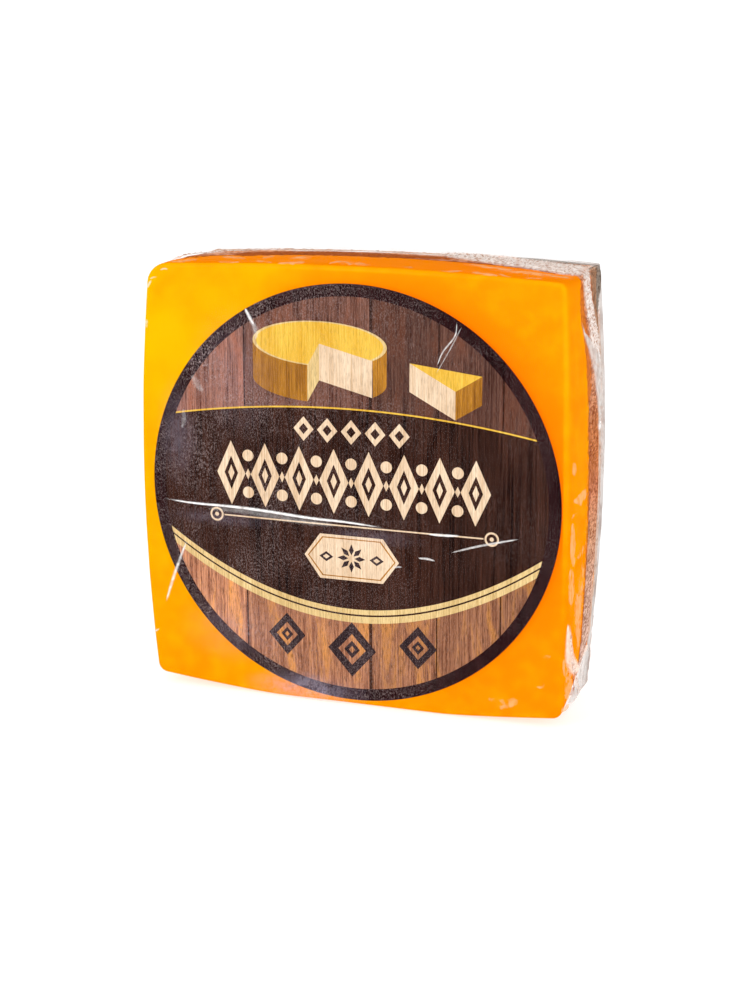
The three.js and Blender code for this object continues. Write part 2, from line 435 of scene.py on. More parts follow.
PLANK_JOINTS = (-68.0, 11.5, 53.0, 92.5)      # from the label's centre
JOINT_WIDTH = 0.55
JOINT_TONE = (0.16, 0.14, 0.14, 1.0)
UPPER_TONES = (1.6, 0.9, 0.52, 0.62, 0.55)
LOWER_TONES = (1.3, 1.0, 0.84, 0.76, 0.66)


def wood_tone(shader, tones):
    """Grey tone of printed planks: one tone each, with a dark joint between two."""
    centre = OFFSET[0] + LABEL_CENTRE[0] * MM
    reach = LABEL_RADIUS * MM
    stops = [(0.0, (tones[0],) * 3 + (1,))]
    for joint, tone in zip(PLANK_JOINTS, tones[1:]):
        middle = (joint / LABEL_RADIUS + 1) / 2
        half = JOINT_WIDTH / LABEL_RADIUS / 2
        stops.append((middle - half, JOINT_TONE))
        stops.append((middle + half, (tone,) * 3 + (1,)))
    return shader.ramp(shader.fit(shader.coordinate(0), centre - reach, centre + reach), stops, "CONSTANT")


DUST = srgb(184, 162, 160)
DUSTY_X, CLEAN_X = -0.06, 0.06                # the label is dustier towards its left


def print_ink(name, dark, light, streaks, tones, specks, patches=None):
    """Printed paper with upright wood grain running through the ink, and dust on the film over it."""
    shader = Shader(name)
    grain = shader.noise(1500.0, shader.stretched((1.0, 1.0, 0.012)), 3.0, 0.6)
    ticks = shader.noise(1700.0, shader.stretched((1.0, 1.0, 0.12)), 3.0, 0.65)
    sweep = shader.noise(60.0, shader.stretched((1.0, 1.0, 0.16)), 4.0, 0.6, 1.8)
    figure = shader.add(shader.times(grain, 0.62), shader.times(sweep, 0.38))
    spread = 0.08 + 0.1 * (1 - streaks)
    colour = shader.mix(shader.fit(figure, 0.5 - spread, 0.5 + spread), srgb(*dark), srgb(*light))
    if patches:
        colour = shader.mix(shader.fit(sweep, 0.52, 0.64, 0.0, 0.8), colour, srgb(*patches))
    pores = shader.fit(ticks, 0.36, 0.5, 1 - streaks * 0.7, 1.0)
    colour = shader.mix(1.0, colour, pores, "MULTIPLY")
    if tones:
        colour = shader.mix(1.0, colour, wood_tone(shader, tones), "MULTIPLY")
    dust = shader.noise(1300.0, shader.stretched((1.0, 1.0, 0.6)), 5.0, 0.8)
    wide = shader.fit(shader.noise(30.0), 0.4, 0.62, 0.25, 1.0)
    to_right = shader.fit(shader.coordinate(0), DUSTY_X, CLEAN_X, 1.3, 0.3)
    dust_share = shader.times(shader.fit(dust, 0.5, 0.62), shader.times(wide, to_right))
    colour = shader.mix(shader.times(dust_share, specks), colour, DUST)
    return shader.finish_opaque(colour, ticks, (0.55, 0.72), grain, 0.15)


def label_inks():
    """The inks: dark and light tone, strength of the grain, planks' tones, dust, and patches' tone."""
    inks = {
        "ring": ((18, 1, 3), (50, 22, 24), 0.5, None, 0.7),
        "upper_planks": ((80, 46, 38), (150, 104, 88), 0.6, UPPER_TONES, 0.5, (136, 82, 62)),
        "field": ((16, 3, 2), (74, 44, 34), 0.55, None, 0.36),
        "lower_planks": ((134, 82, 60), (208, 146, 110), 0.75, LOWER_TONES, 0.3, (218, 146, 78)),
        "cream": ((212, 176, 138), (255, 230, 200), 0.35, None, 0.08),
        "gold": ((204, 166, 104), (246, 218, 158), 0.4, None, 0.08),
        "bright_gold": ((216, 158, 40), (250, 208, 90), 0.3, None, 0.08),
        "deep_gold": ((128, 78, 28), (204, 140, 50), 0.4, None, 0.1),
        "badge": ((34, 22, 26), (70, 54, 56), 0.6, None, 0.45),
    }
    return {name: print_ink("ink_" + name, *look) for name, look in inks.items()}


GRAIN_DARK = (0.5, 0.32, 0.24, 1.0)
GRAIN_LIGHT = (1.3, 1.3, 1.3, 1.0)


def band_ink():
    """Brown printed film with a fine grain, deeper above its middle and paler towards the foot."""
    shader = Shader("band_print")
    grain = shader.noise(820.0, shader.stretched((1.0, 0.3, 1.0)), 2.0, 0.65)
    sweep = shader.noise(120.0, shader.stretched((1.0, 0.4, 1.0), (0.6, 0.0, 0.6)), 3.0, 0.6)
    middle = shader.ramp(shader.fit(shader.coordinate(2), cad_low[2], cad_high[2]), [
        (0.22, srgb(212, 180, 164)),
        (0.4, srgb(206, 152, 118)),
        (0.5, srgb(202, 130, 94)),
        (0.56, srgb(194, 120, 74)),
        (0.64, srgb(196, 124, 78)),
        (0.72, srgb(212, 150, 114)),
    ])
    figure = shader.add(shader.times(grain, 0.7), shader.times(sweep, 0.3))
    tone = shader.ramp(shader.fit(figure, 0.41, 0.59), [(0.0, GRAIN_DARK), (1.0, GRAIN_LIGHT)])
    colour = shader.mix(1.0, middle, tone, "MULTIPLY")
    return shader.finish_opaque(colour, grain, (0.4, 0.6), grain, 0.2)


FLOOR_TONES = ((0.56, 0.56, 0.56, 1.0), (0.6, 0.6, 0.6, 1.0))
FLOOR_GLOW = 0.65


def floor_material():
    shader = Shader("pale_floor")
    tone = shader.noise(0.7, detail=2.0)
    return shader.finish(shader.node("BsdfPrincipled", {
        "Base Color": shader.mix(tone, *FLOOR_TONES),
        "Roughness": 0.9,
        "Specular IOR Level": 0.0,
        "Emission Color": WHITE,
        "Emission Strength": FLOOR_GLOW,
    }))


# ---- Film materials ----

FILM_WRINKLE = 0.25
FILM_WRINKLE_HEIGHT = 0.002                   # in metres
SLANT_POWER = 8.0
NO_TINT = (1.0, 1.0, 1.0)
ROOT_TINT = (0.96, 0.9, 0.86)


def film(name, light, dark, haze, tint=NO_TINT, gloss=0.12, gloss_floor=0.002, speckle=420.0):
    """Clear film: see-through, with a share of haze, and glossier where it is seen at a slant."""
    shader = Shader(name)
    crumple = shader.noise(55.0, detail=4.0, distortion=0.6)
    normal = shader.bump(crumple, FILM_WRINKLE, FILM_WRINKLE_HEIGHT)
    clear = shader.node("BsdfTransparent", {"Color": (*tint, 1.0)})
    speckles = shader.fit(shader.noise(speckle, distortion=0.5), 0.38, 0.52)
    cloudy = shader.node("BsdfDiffuse", {"Color": shader.mix(speckles, srgb(*dark), srgb(*light))})
    body = shader.node("MixShader", {0: haze(shader), 1: clear, 2: cloudy})
    facing = shader.node("LayerWeight", {"Blend": 0.5, "Normal": normal}, "Facing")
    slant = shader.node("Math", {0: facing, 1: SLANT_POWER}, operation="POWER")
    share = shader.fit(slant, 0.0, 1.0, gloss_floor, gloss)
    shine = shader.node("BsdfGlossy", {
        "Color": WHITE,
        "Roughness": shader.fit(crumple, 0.3, 0.7, 0.06, 0.16),
        "Normal": normal,
    })
    return shader.finish(shader.node("MixShader", {0: share, 1: body, 2: shine}))


# Faint clouds in the film over the label: the place as X and Z, the reach along both, the strength.
FILM_CLOUDS = [
    ((-30, -129), (46, 13), 0.5),
    ((-78, -96), (40, 26), 0.12),
    ((-84, -25), (44, 7), 0.14),
    ((12, -28), (40, 7), 0.14),
    ((-112, 26), (16, 40), 0.16),
    ((-74, 66), (34, 46), 0.1),
]
CLOUD_DEPTH = 14


def clear_haze(shader):
    """A trace of cloud, more round the label's lower left and under the long crease."""
    patchy = shader.fit(shader.noise(160.0, shader.stretched((0.7, 1.0, 1.0)), 4.0, 0.6), 0.3, 0.7, 0.3, 1.0)
    total = 0.0
    for (x, z), (reach_x, reach_z), strength in FILM_CLOUDS:
        cloud = shader.blob((x, FRONT_Y, z), (reach_x, CLOUD_DEPTH, reach_z))
        total = shader.add(total, shader.times(cloud, strength))
    return shader.times(total, patchy, clamp=True)


def root_haze(low, high, scale=160.0):
    """A haze that comes and goes between two shares."""
    def haze(shader):
        patchy = shader.noise(scale, roughness=0.6, distortion=0.6)
        return shader.fit(patchy, 0.38, 0.62, low, high)
    return haze


def patchy_haze(low, high, scale):
    """The same haze, fading out at a relief's rim."""
    haze = root_haze(low, high, scale)
    return lambda shader: shader.times(haze(shader), shader.mark("cover"), clamp=True)


DENSE_HAZE = patchy_haze(0.85, 1.0, 200.0)


def torn_haze(strength, scale, stretch):
    """A haze in ragged flecks, closer together where a relief has more cover."""
    def haze(shader):
        patchy = shader.noise(scale, shader.stretched(stretch), 3.0, 0.6, 0.6)
        height = shader.add(patchy, shader.times(shader.mark("cover"), 0.4))
        return shader.fit(height, 0.62, 0.76, 0.0, strength)
    return haze


FIN_HAZE_REACH = (0.78, 0.92)                 # shares of the way from the middle to the right side


def fin_haze(shader):
    """The fin's haze: a trace along the upper side and the left, more down the right side."""
    patchy = shader.fit(shader.noise(60.0), 0.38, 0.62, 0.7, 1.0)
    start, end = (share * cad_high[0] for share in FIN_HAZE_REACH)
    return shader.times(patchy, shader.fit(shader.coordinate(0), start, end, 0.2, 0.95))


def film_materials():
    """Every kind of film by its name, with its haze's light and dark tones."""
    flecks = (0.6, 1.0, 0.6)
    long_flecks = (0.4, 1.0, 0.6)
    skin = [
        film("clear_film", (196, 184, 206), (150, 138, 160), clear_haze, (0.985, 0.985, 0.985), gloss=0.04),
        film("welded_film", (200, 194, 190), (172, 160, 154), fin_haze, (0.98, 0.975, 0.97), speckle=70.0),
        film("weld_root", (208, 180, 164), (174, 140, 120), root_haze(0.75, 1.0), ROOT_TINT),
        film("upper_weld_root", (214, 170, 142), (172, 118, 84), root_haze(0.6, 0.95), ROOT_TINT),
    ]
    marks = [
        # Creases: the film's own whitening, with painted highlights along their ridges and painted glints.
        film("creased_and_glinting_film", (255, 253, 252), (236, 228, 224), patchy_haze(0.7, 1.0, 240.0)),
        film("glinting_film", (255, 192, 136), (255, 172, 100), torn_haze(0.62, 260.0, flecks), gloss=0.04),
        film("glaring_film", (255, 228, 212), (250, 212, 190), patchy_haze(0.9, 1.0, 60.0), speckle=60.0),
        film("streaked_film", (184, 92, 34), (112, 50, 14), torn_haze(0.96, 500.0, long_flecks),
             gloss=0.02, speckle=900.0),
        # A painted shadow along the band's front edge, and the band's print seen through the film.
        film("amber_shadow_and_print_film", (214, 118, 44), (166, 78, 28), torn_haze(0.85, 500.0, flecks),
             gloss=0.02, speckle=700.0),
    ]
    folds = [
        # Pleats: crinkled film, partly its own whitish haze, partly painted highlights and reflections in
        # its light and dark speckles.
        film("pleated_film", (248, 236, 228), (184, 142, 118), patchy_haze(0.8, 1.0, 420.0),
             (0.99, 0.98, 0.97), gloss=0.3, gloss_floor=0.01, speckle=430.0),
        film("slack_film", (224, 219, 215), (198, 188, 182), patchy_haze(0.75, 0.95, 70.0),
             (0.99, 0.985, 0.98), speckle=120.0),
        film("brown_slack_film", (166, 122, 92), (114, 80, 60), DENSE_HAZE, (0.9, 0.8, 0.7)),
        # Painted shade in the fold at the upper right corner; the same film draws dark lines along the
        # fold's edges and the fin.
        film("dark_fold_film", (142, 130, 118), (96, 82, 72), DENSE_HAZE, (0.7, 0.68, 0.66)),
    ]
    return {material.name: material for material in skin + marks + folds}


# ---- The cheese block ----

CHEESE_STEPS = {"side_steps": 48, "corner_steps": 8}
CHEESE_FRONT_RADIUS = 3.0
CHEESE_BACK_RADIUS = 5.0
CHEESE_SIDE_LOOPS = 24
CHEESE_FACE_SHARES = np.linspace(0.06, 0.985, 20)
CHEESE_UNEVENNESS = 0.25
UNEVENNESS_SCALE = 22
MEAN_RADIUS = 130
# The painted highlight on the front edge: where it starts, how fast it rises, its strength across the
# rounding, its share along the top.
HIGHLIGHT_START = 124                              # from the centre, in X or in Z
HIGHLIGHT_RISE = 4
HIGHLIGHT_PROFILE = (0.0, 0.4, 0.8, 1.0, 0.9, 0.75, 0.5, 0.2)
TOP_HIGHLIGHT_SHARE = 0.6
# How wide the painted shade on the upper side fades out towards the narrow sides.
UPPER_SHADE_FADE = 20


def rounding(radius, degrees):
    """Pairs of distances from the two sides that a rounded edge joins, at these angles."""
    angles = np.radians(degrees)
    return list(zip(radius * (1 - np.sin(angles)), radius * (1 - np.cos(angles))))


def cheese_loop(y, inset):
    return side_loop(y, inset, CHEESE_BACK_CORNERS, **CHEESE_STEPS)


def rising(values, start, reach):
    """0 up to the start, and 1 from this far beyond it."""
    return np.clip((values - start) / reach, 0, 1)


def build_cheese(material):
    """The block, with marks for the coating: a painted highlight along its front edge, painted shade on its
    upper side, and its front face.
    """
    front = FRONT_Y + CHEESE_DEPTH
    back = BACK_Y - CHEESE_DEPTH
    front_rounding = rounding(CHEESE_FRONT_RADIUS, (0, 15, 30, 45, 60, 75))
    front_edge = [cheese_loop(front + behind, CHEESE_DEPTH + inset) for inset, behind in front_rounding]
    side_places = np.linspace(front + CHEESE_FRONT_RADIUS, back - CHEESE_BACK_RADIUS, CHEESE_SIDE_LOOPS)
    sides = [cheese_loop(y, CHEESE_DEPTH) for y in side_places]
    back_rounding = rounding(CHEESE_BACK_RADIUS, (15, 30, 45, 60, 75, 90))
    back_edge = [cheese_loop(back - before, CHEESE_DEPTH + inset) for before, inset in back_rounding]
    front_face = face_rings(front_edge[0], front_face_y, CHEESE_DEPTH, CHEESE_FACE_SHARES)
    back_face = face_rings(back_edge[-1], back_face_y, -CHEESE_DEPTH, CHEESE_FACE_SHARES[::-1])
    loops = [*front_face, *front_edge, *sides, *back_edge, *back_face]
    centre_front = (0, front_face_y(0, 0) + CHEESE_DEPTH, 0)
    centre_back = (0, back_face_y(0, 0) - CHEESE_DEPTH, 0)
    points, faces = capped_loft(loops, centre_front, centre_back)
    count = len(loops[0])
    first_edge = len(front_face)
    first_side = first_edge + len(front_edge)
    edge_rows = slice(first_edge, first_edge + len(HIGHLIGHT_PROFILE))
    side_rows = slice(first_side, first_side + len(sides))
    marks = {name: np.zeros(len(points)) for name in ("edge_highlight", "upper", "face")}
    edge_highlight, upper, face = (mark[:count * len(loops)].reshape(len(loops), count) for mark in marks.values())
    x, _, z = points[:count * len(loops)].T.reshape(3, len(loops), count)
    # The front edge gets a painted highlight, brightest at its upper right. The upper side gets painted
    # shade, the deepest in colour.
    right_highlight = rising(x, HIGHLIGHT_START, HIGHLIGHT_RISE) * rising(z, -40, 150)
    top_highlight = rising(z, HIGHLIGHT_START, HIGHLIGHT_RISE) * rising(x, -60, 180) * TOP_HIGHLIGHT_SHARE
    edge_highlight[edge_rows] = np.maximum(right_highlight, top_highlight)[edge_rows] * np.array(HIGHLIGHT_PROFILE)[:, None]
    upper[side_rows] = np.clip((z - abs(x)) / UPPER_SHADE_FADE + 0.5, 0, 1)[side_rows]
    face[:first_edge + 1] = 1.0
    for index, point in enumerate(points):
        dent = CHEESE_UNEVENNESS * (0.5 + 0.5 * noise.noise(Vector(point) / UNEVENNESS_SCALE))
        points[index] = point * (1 - dent / MEAN_RADIUS)
    make_piece("cheese_block", points, faces, [material], ["wrapped_block"], marks=marks)


# ---- The printed label ----
# Shapes are in millimetres from the label's centre. Each is an ink and the outlines that it fills.

RING_INSIDE = 121.0
WHEEL_CENTRE = (-20.0, 92.0)
WHEEL_RADIUS = 42.0
WHEEL_SQUASH = 0.32
WHEEL_SIDE = 22.0
WEDGE_CUT = (math.radians(-100), math.radians(-38))
WEDGE_TIP = (36.0, 84.0)
WEDGE_NEAR = (64.0, 69.0)
WEDGE_FAR = (80.0, 79.0)
WEDGE_SIDE = 17.0
FRIEZE_Z = 9.0
FRIEZE_STEP = 22.0
FRIEZE_COUNT = 8
RULE_Z = FRIEZE_Z - 27
UPPER_ROW_Z = 40.0
UPPER_ROW_STEP = 15
PLAQUE_Z = -38.0
PLAQUE_CORNERS = ((30, 0), (20, 14), (-20, 14), (-30, 0), (-20, -14), (20, -14))
PETALS = 8
PETAL_SHAPE = ((2, 0), (5, 1.6), (9, 0), (5, -1.6))    # along the petal and across it
LABEL_RIM_STEPS = 180
LABEL_GRID = 6.0
GRID_MARGIN = 3.0
PRINT_MARGIN = 0.05
MERGE_DISTANCE = 0.01


def circle(centre_x, centre_z, radius, steps=48, squash=1.0, start=0.0, end=2 * math.pi):
    angles = np.linspace(start, end, steps, endpoint=end - start < 2 * math.pi - 1e-6)
    return [(centre_x + radius * math.cos(a), centre_z + squash * radius * math.sin(a)) for a in angles]


def lozenge(x, z, half_width, half_height):
    return [(x + half_width, z), (x, z + half_height), (x - half_width, z), (x, z - half_height)]


def lozenges(x, z, *sizes):
    return [lozenge(x, z, *size) for size in sizes]


def field_top(x):
    return 54 - 12 * (x / RING_INSIDE) ** 2


def field_bottom(x):
    return -70 + 44 * (x / RING_INSIDE) ** 2


def strip(lower, upper, left=-RING_INSIDE - 1, right=RING_INSIDE + 1, steps=48):
    """The outline between two curves."""
    xs = np.linspace(left, right, steps)
    return [(x, lower(x)) for x in xs] + [(x, upper(x)) for x in xs[::-1]]


def rule(curve, top, bottom, **ends):
    return strip(lambda x: curve(x) + bottom, lambda x: curve(x) + top, **ends)


def lowered(point, drop):
    return (point[0], point[1] - drop)


def side_face(first, second, drop):
    return [first, lowered(first, drop), lowered(second, drop), second]


def cheese_wheel():
    """A wheel of cheese with a wedge cut out, as plain fields of colour."""
    x, z = WHEEL_CENTRE
    start, end = WEDGE_CUT
    top = circle(x, z, WHEEL_RADIUS, 60, WHEEL_SQUASH)
    lower_rim = circle(x, z - WHEEL_SIDE, WHEEL_RADIUS, 40, WHEEL_SQUASH, math.pi, 2 * math.pi)
    wall = [(x + WHEEL_RADIUS, z), (x - WHEEL_RADIUS, z), *lower_rim]
    crust = circle(x, z, WHEEL_RADIUS * 0.95, 60, WHEEL_SQUASH)
    left, right = circle(x, z, WHEEL_RADIUS, 2, WHEEL_SQUASH, start, end)
    near_rim = circle(x, z - WHEEL_SIDE - 1, WHEEL_RADIUS + 1, 12, WHEEL_SQUASH, start, end)
    middle = (x, z)
    return [
        ("deep_gold", [wall]),
        ("gold", [top]),
        ("bright_gold", [crust]),
        ("upper_planks", [[middle, left, *near_rim, right]]),
        ("gold", [[middle, left, lowered(left, WHEEL_SIDE), lowered(middle, WHEEL_SIDE)]]),
        ("cream", [side_face(middle, right, WHEEL_SIDE)]),
    ]


def loose_wedge():
    """The wedge that was cut out, lying beside the wheel."""
    return [
        ("cream", [side_face(WEDGE_TIP, WEDGE_NEAR, WEDGE_SIDE)]),
        ("deep_gold", [side_face(WEDGE_NEAR, WEDGE_FAR, WEDGE_SIDE)]),
        ("bright_gold", [[WEDGE_TIP, WEDGE_NEAR, WEDGE_FAR]]),
    ]


def frieze():
    """Tall lozenges with discs between them, a row of small lozenges above, and a fine rule below."""
    shapes = []
    for number in range(FRIEZE_COUNT):
        x = (number - 3.5) * FRIEZE_STEP
        shapes.append(lozenges(x, FRIEZE_Z, (9.2, 20), (4.4, 10.5), (2.0, 5.0)))
    for number in range(FRIEZE_COUNT - 1):
        x = (number - 3) * FRIEZE_STEP
        for height in (-11.5, 11.5):
            shapes.append([circle(x, FRIEZE_Z + height, 3.6, 24)])
        shapes.append(lozenges(x, FRIEZE_Z, (1.6, 3.4)))
    for number in range(5):
        shapes.append(lozenges((number - 2) * UPPER_ROW_STEP, UPPER_ROW_Z, (6.4, 7.5), (2.9, 3.4)))
    shapes.append([rule(lambda x: RULE_Z, 0.45, -0.45, left=-82, right=82)])
    for end in (-87, 87):
        shapes.append([circle(end, RULE_Z, *size) for size in ((4.4, 24), (3.2, 24), (1.3, 16))])
    return [("cream", outlines) for outlines in shapes]


def hexagon(across=1.0, upright=1.0):
    return [(x * across, PLAQUE_Z + z * upright) for x, z in PLAQUE_CORNERS]


def plaque():
    """A cream hexagon with a brown rosette between two small lozenges."""
    shapes = [("cream", [hexagon()]), ("deep_gold", [hexagon(0.93, 0.88), hexagon(0.9, 0.83)])]
    middle = np.array([0, PLAQUE_Z])
    for number in range(PETALS):
        angle = 2 * math.pi * number / PETALS
        along = np.array([math.cos(angle), math.sin(angle)])
        across = np.array([-along[1], along[0]])
        petal = [tuple(middle + along * far + across * aside) for far, aside in PETAL_SHAPE]
        shapes.append(("badge", [petal]))
    for side in (-1, 1):
        shapes.append(("badge", lozenges(side * 16, PLAQUE_Z, (4.5, 3.2), (2.2, 1.5))))
    return shapes


def badges():
    """Dark lozenges on the lower planks, each with a lighter one in it."""
    shapes = []
    for x, scale in ((-42, 0.85), (0, 1.1), (42, 0.85)):
        z = -96 + 0.0032 * x * x
        dark, *light = (
            lozenge(x, z, width * scale, height * scale)
            for width, height in ((14, 16), (8, 9), (4.6, 5.2), (1.8, 2.1))
        )
        shapes += [("badge", [dark]), ("lower_planks", light)]
    return shapes


def label_shapes():
    """All the print's shapes, in the order in which they are laid over each other."""
    return [
        ("lower_planks", [strip(lambda x: -130, lambda x: field_bottom(x) - 4)]),
        ("field", [strip(field_bottom, field_top)]),
        ("gold", [rule(field_bottom, 0, -8.5)]),
        ("field", [rule(field_bottom, -3.2, -4.3)]),
        ("bright_gold", [rule(field_top, 0.5, -0.5)]),
        *cheese_wheel(),
        *loose_wedge(),
        *frieze(),
        *plaque(),
        *badges(),
        ("ring", [circle(0, 0, LABEL_RADIUS + 1, 96), circle(0, 0, RING_INSIDE, 144)]),
    ]


def inside(points, outline):
    """Which of the points lie inside the outline, by even and odd crossings."""
    x, z = points.T
    result = np.zeros(len(points), dtype=bool)
    for (x1, z1), (x2, z2) in zip(outline, outline[1:] + outline[:1]):
        if z1 != z2:
            crosses = (z1 > z) != (z2 > z)
            result ^= crosses & (x < (x2 - x1) * (z - z1) / (z2 - z1) + x1)
    return result


def cut_label(shapes):
    """Flat points and triangles of the label, cut along its rim and the outlines of its shapes."""
    rim = circle(0, 0, LABEL_RADIUS, LABEL_RIM_STEPS)
    reach = LABEL_RADIUS - PRINT_MARGIN
    coords, edges = [], []
    for outline in [rim, *(outline for _, outlines in shapes for outline in outlines)]:
        first = len(coords)
        for x, z in outline:
            distance = math.hypot(x, z)
            shrink = 1.0 if outline is rim or distance <= reach else reach / distance
            coords.append(Vector((x * shrink, z * shrink)))
        edges += [(first + i, first + (i + 1) % len(outline)) for i in range(len(outline))]
    steps = np.arange(-LABEL_RADIUS, LABEL_RADIUS, LABEL_GRID)
    grid = [Vector((x, z)) for x in steps for z in steps if math.hypot(x, z) < LABEL_RADIUS - GRID_MARGIN]
    flat, _, triangles, *_ = delaunay_2d_cdt(coords + grid, edges, [], 0, MERGE_DISTANCE)
    return np.array([tuple(point) for point in flat]), np.array(triangles)


def build_label(inks):
    """One closed paper sheet, whose front is cut along the outlines of its shapes."""
    shapes = label_shapes()
    flat, triangles = cut_label(shapes)
    centres = flat[triangles].mean(axis=1)
    names = list(inks)
    ink = np.full(len(triangles), names.index("upper_planks"))
    for name, outlines in shapes:
        filled = np.zeros(len(triangles), dtype=bool)
        for outline in outlines:
            filled ^= inside(centres, outline)
        ink[filled] = names.index(name)
    x, z = (flat + LABEL_CENTRE).T
    front = np.stack([x, front_face_y(x, z) + LABEL_DEPTH, z], axis=1)
    back = front + (0, LABEL_SHEET, 0)
    count = len(front)
    a, b, c = flat[triangles].transpose(1, 0, 2)
    turned = np.cross(b - a, c - a) < 0
    triangles[turned] = triangles[turned][:, ::-1]
    front_faces = triangles.tolist()
    back_faces = (triangles[:, ::-1] + count).tolist()
    directed = {(t[i], t[(i + 1) % 3]) for t in front_faces for i in range(3)}
    rim_edges = sorted((p, q) for p, q in directed if (q, p) not in directed)
    rim_faces = [(q, p, p + count, q + count) for p, q in rim_edges]
    plain_inks = [names.index("cream")] * len(back_faces) + [names.index("ring")] * len(rim_faces)
    make_piece(
        "round_label_sheet", np.concatenate([front, back]), front_faces + back_faces + rim_faces,
        inks.values(), ["round_label"], [*ink, *plain_inks],
    )


# ---- The band ----

BAND_LOOPS = 10
BAND_WAVE = 0.5
BAND_WAVE_SCALE = 28
BAND_SEED = 40.0


def build_band(material):
    """A thin printed strip right round the narrow sides, with slightly wavy edges."""
    def band_loop(station, inset):
        loop = side_loop(FRONT_Y + BAND_FRONT + station, inset, CHEESE_BACK_CORNERS, **CHEESE_STEPS)
        lean = station / BAND_WIDTH * 2 - 1
        wave = [noise.noise(Vector((x, z, BAND_SEED)) / BAND_WAVE_SCALE) for x, _, z in loop]
        loop[:, 1] -= np.array(wave) * BAND_WAVE * abs(lean) * 2
        return loop

    stations = np.linspace(0, BAND_WIDTH, BAND_LOOPS)
    outside = [band_loop(station, BAND_DEPTH) for station in stations]
    inner = [band_loop(station, BAND_DEPTH + BAND_SHEET) for station in stations[::-1]]
    points, faces = ring_loft([*outside, *inner])
    make_piece("side_band_strip", points, faces, [material], ["side_band"])


# ---- The film ----

SKIN_FILMS = ("clear_film", "welded_film", "weld_root", "upper_weld_root")
CLEAR, WELD, ROOT, UPPER_ROOT = range(len(SKIN_FILMS))
WELD_ROWS = 3
WELD_ROOT_ROWS = 5
WELD_ROOT_FOOT = -50.0                        # on the right side, beside the fin
WELD_ROOT_SLANT = 11.0
UPPER_ROOT_START = 4
FILM_SIDE_LOOPS = 64
FILM_FACE_SHARES = np.linspace(0.04, 0.97, 30)
FILM_SIDE_WRINKLE = 0.35
FILM_BACK_WRINKLE = 0.9
RIDGE_SHARPNESS = 3.2
FRONT_EASE = 4                                # depths behind the front
BACK_WRINKLES_FROM = 48
BACK_WRINKLES_EASE = 16
STANDING_REACH = 1.5                          # above the floor
SEAM_RIPPLE = 0.7
SEAM_RIPPLE_SCALE = 16
SEAM_RIPPLE_SEED = 9.0
SEAM_OUTLINE_RIPPLE = 0.35
SEAM_OUTLINE_SCALE = 11


def ridges(point, scale, stretch):
    """0 on smooth film and up to 1 along sharp wrinkles."""
    value = noise.noise(Vector([along * factor / scale for along, factor in zip(point, stretch)]))
    return max(0.0, 1 - abs(value) * RIDGE_SHARPNESS) ** 2


def film_wrinkle(perimeter, depth):
    """How far the film stands off at a place round the block and a depth behind its front."""
    front_ease = min(1.0, max(0.0, depth / FRONT_EASE))
    long_folds = ridges((perimeter, depth, 0.0), 9.0, (0.22, 1.0, 1.0))
    cross_folds = ridges((perimeter, depth, 50.0), 7.0, (1.0, 0.3, 1.0))
    near_seam = min(1.0, max(0.0, (depth - BACK_WRINKLES_FROM) / BACK_WRINKLES_EASE)) ** 1.5
    side = FILM_SIDE_WRINKLE * long_folds * front_ease
    return side + FILM_BACK_WRINKLE * cross_folds * near_seam * front_ease


def outward_directions(loop):
    """The direction out of the square at each point of a loop."""
    tangent = np.roll(loop, -1, axis=0) - np.roll(loop, 1, axis=0)
    normal = np.stack([tangent[:, 2], np.zeros(len(loop)), -tangent[:, 0]], axis=1)
    return normal / np.linalg.norm(normal, axis=1)[:, None]


def wrinkled(loop):
    """A loop with the film's wrinkles, moved outwards, and smooth where it stands on the floor."""
    steps = np.linalg.norm(np.roll(loop, -1, axis=0) - loop, axis=1)
    perimeter = np.concatenate([[0], np.cumsum(steps)[:-1]])
    depth = loop[0, 1] - FRONT_Y
    amount = np.array([film_wrinkle(travelled, depth) for travelled in perimeter])
    amount[loop[:, 2] < FOOT_Z + STANDING_REACH] = 0
    return loop + outward_directions(loop) * amount[:, None]


def seam_loop(y, share=1.0):
    """A loop of the weld's fin, this share of the way out to its rim, with a gentle ripple."""
    rim = square_loop(y, SEAM_CORNERS, SEAM_BOW)
    root = side_loop(SEAM_ROOT_Y)
    loop = root + (rim - root) * share
    at_ripple = [Vector((x, z, SEAM_RIPPLE_SEED)) / SEAM_RIPPLE_SCALE for x, _, z in loop]
    at_outline = [Vector((x, z, 0.0)) / SEAM_OUTLINE_SCALE for x, _, z in loop]
    ripple = np.array([noise.noise(point) for point in at_ripple])
    outline = np.array([noise.noise(point) for point in at_outline])
    standing = loop[:, 2] < FOOT_Z + STANDING_REACH
    ripple[standing] = 0
    outline[standing] = 0
    loop[:, 1] += SEAM_RIPPLE * share * ripple
    return loop + outward_directions(loop) * (SEAM_OUTLINE_RIPPLE * share * (outline - 0.5))[:, None]


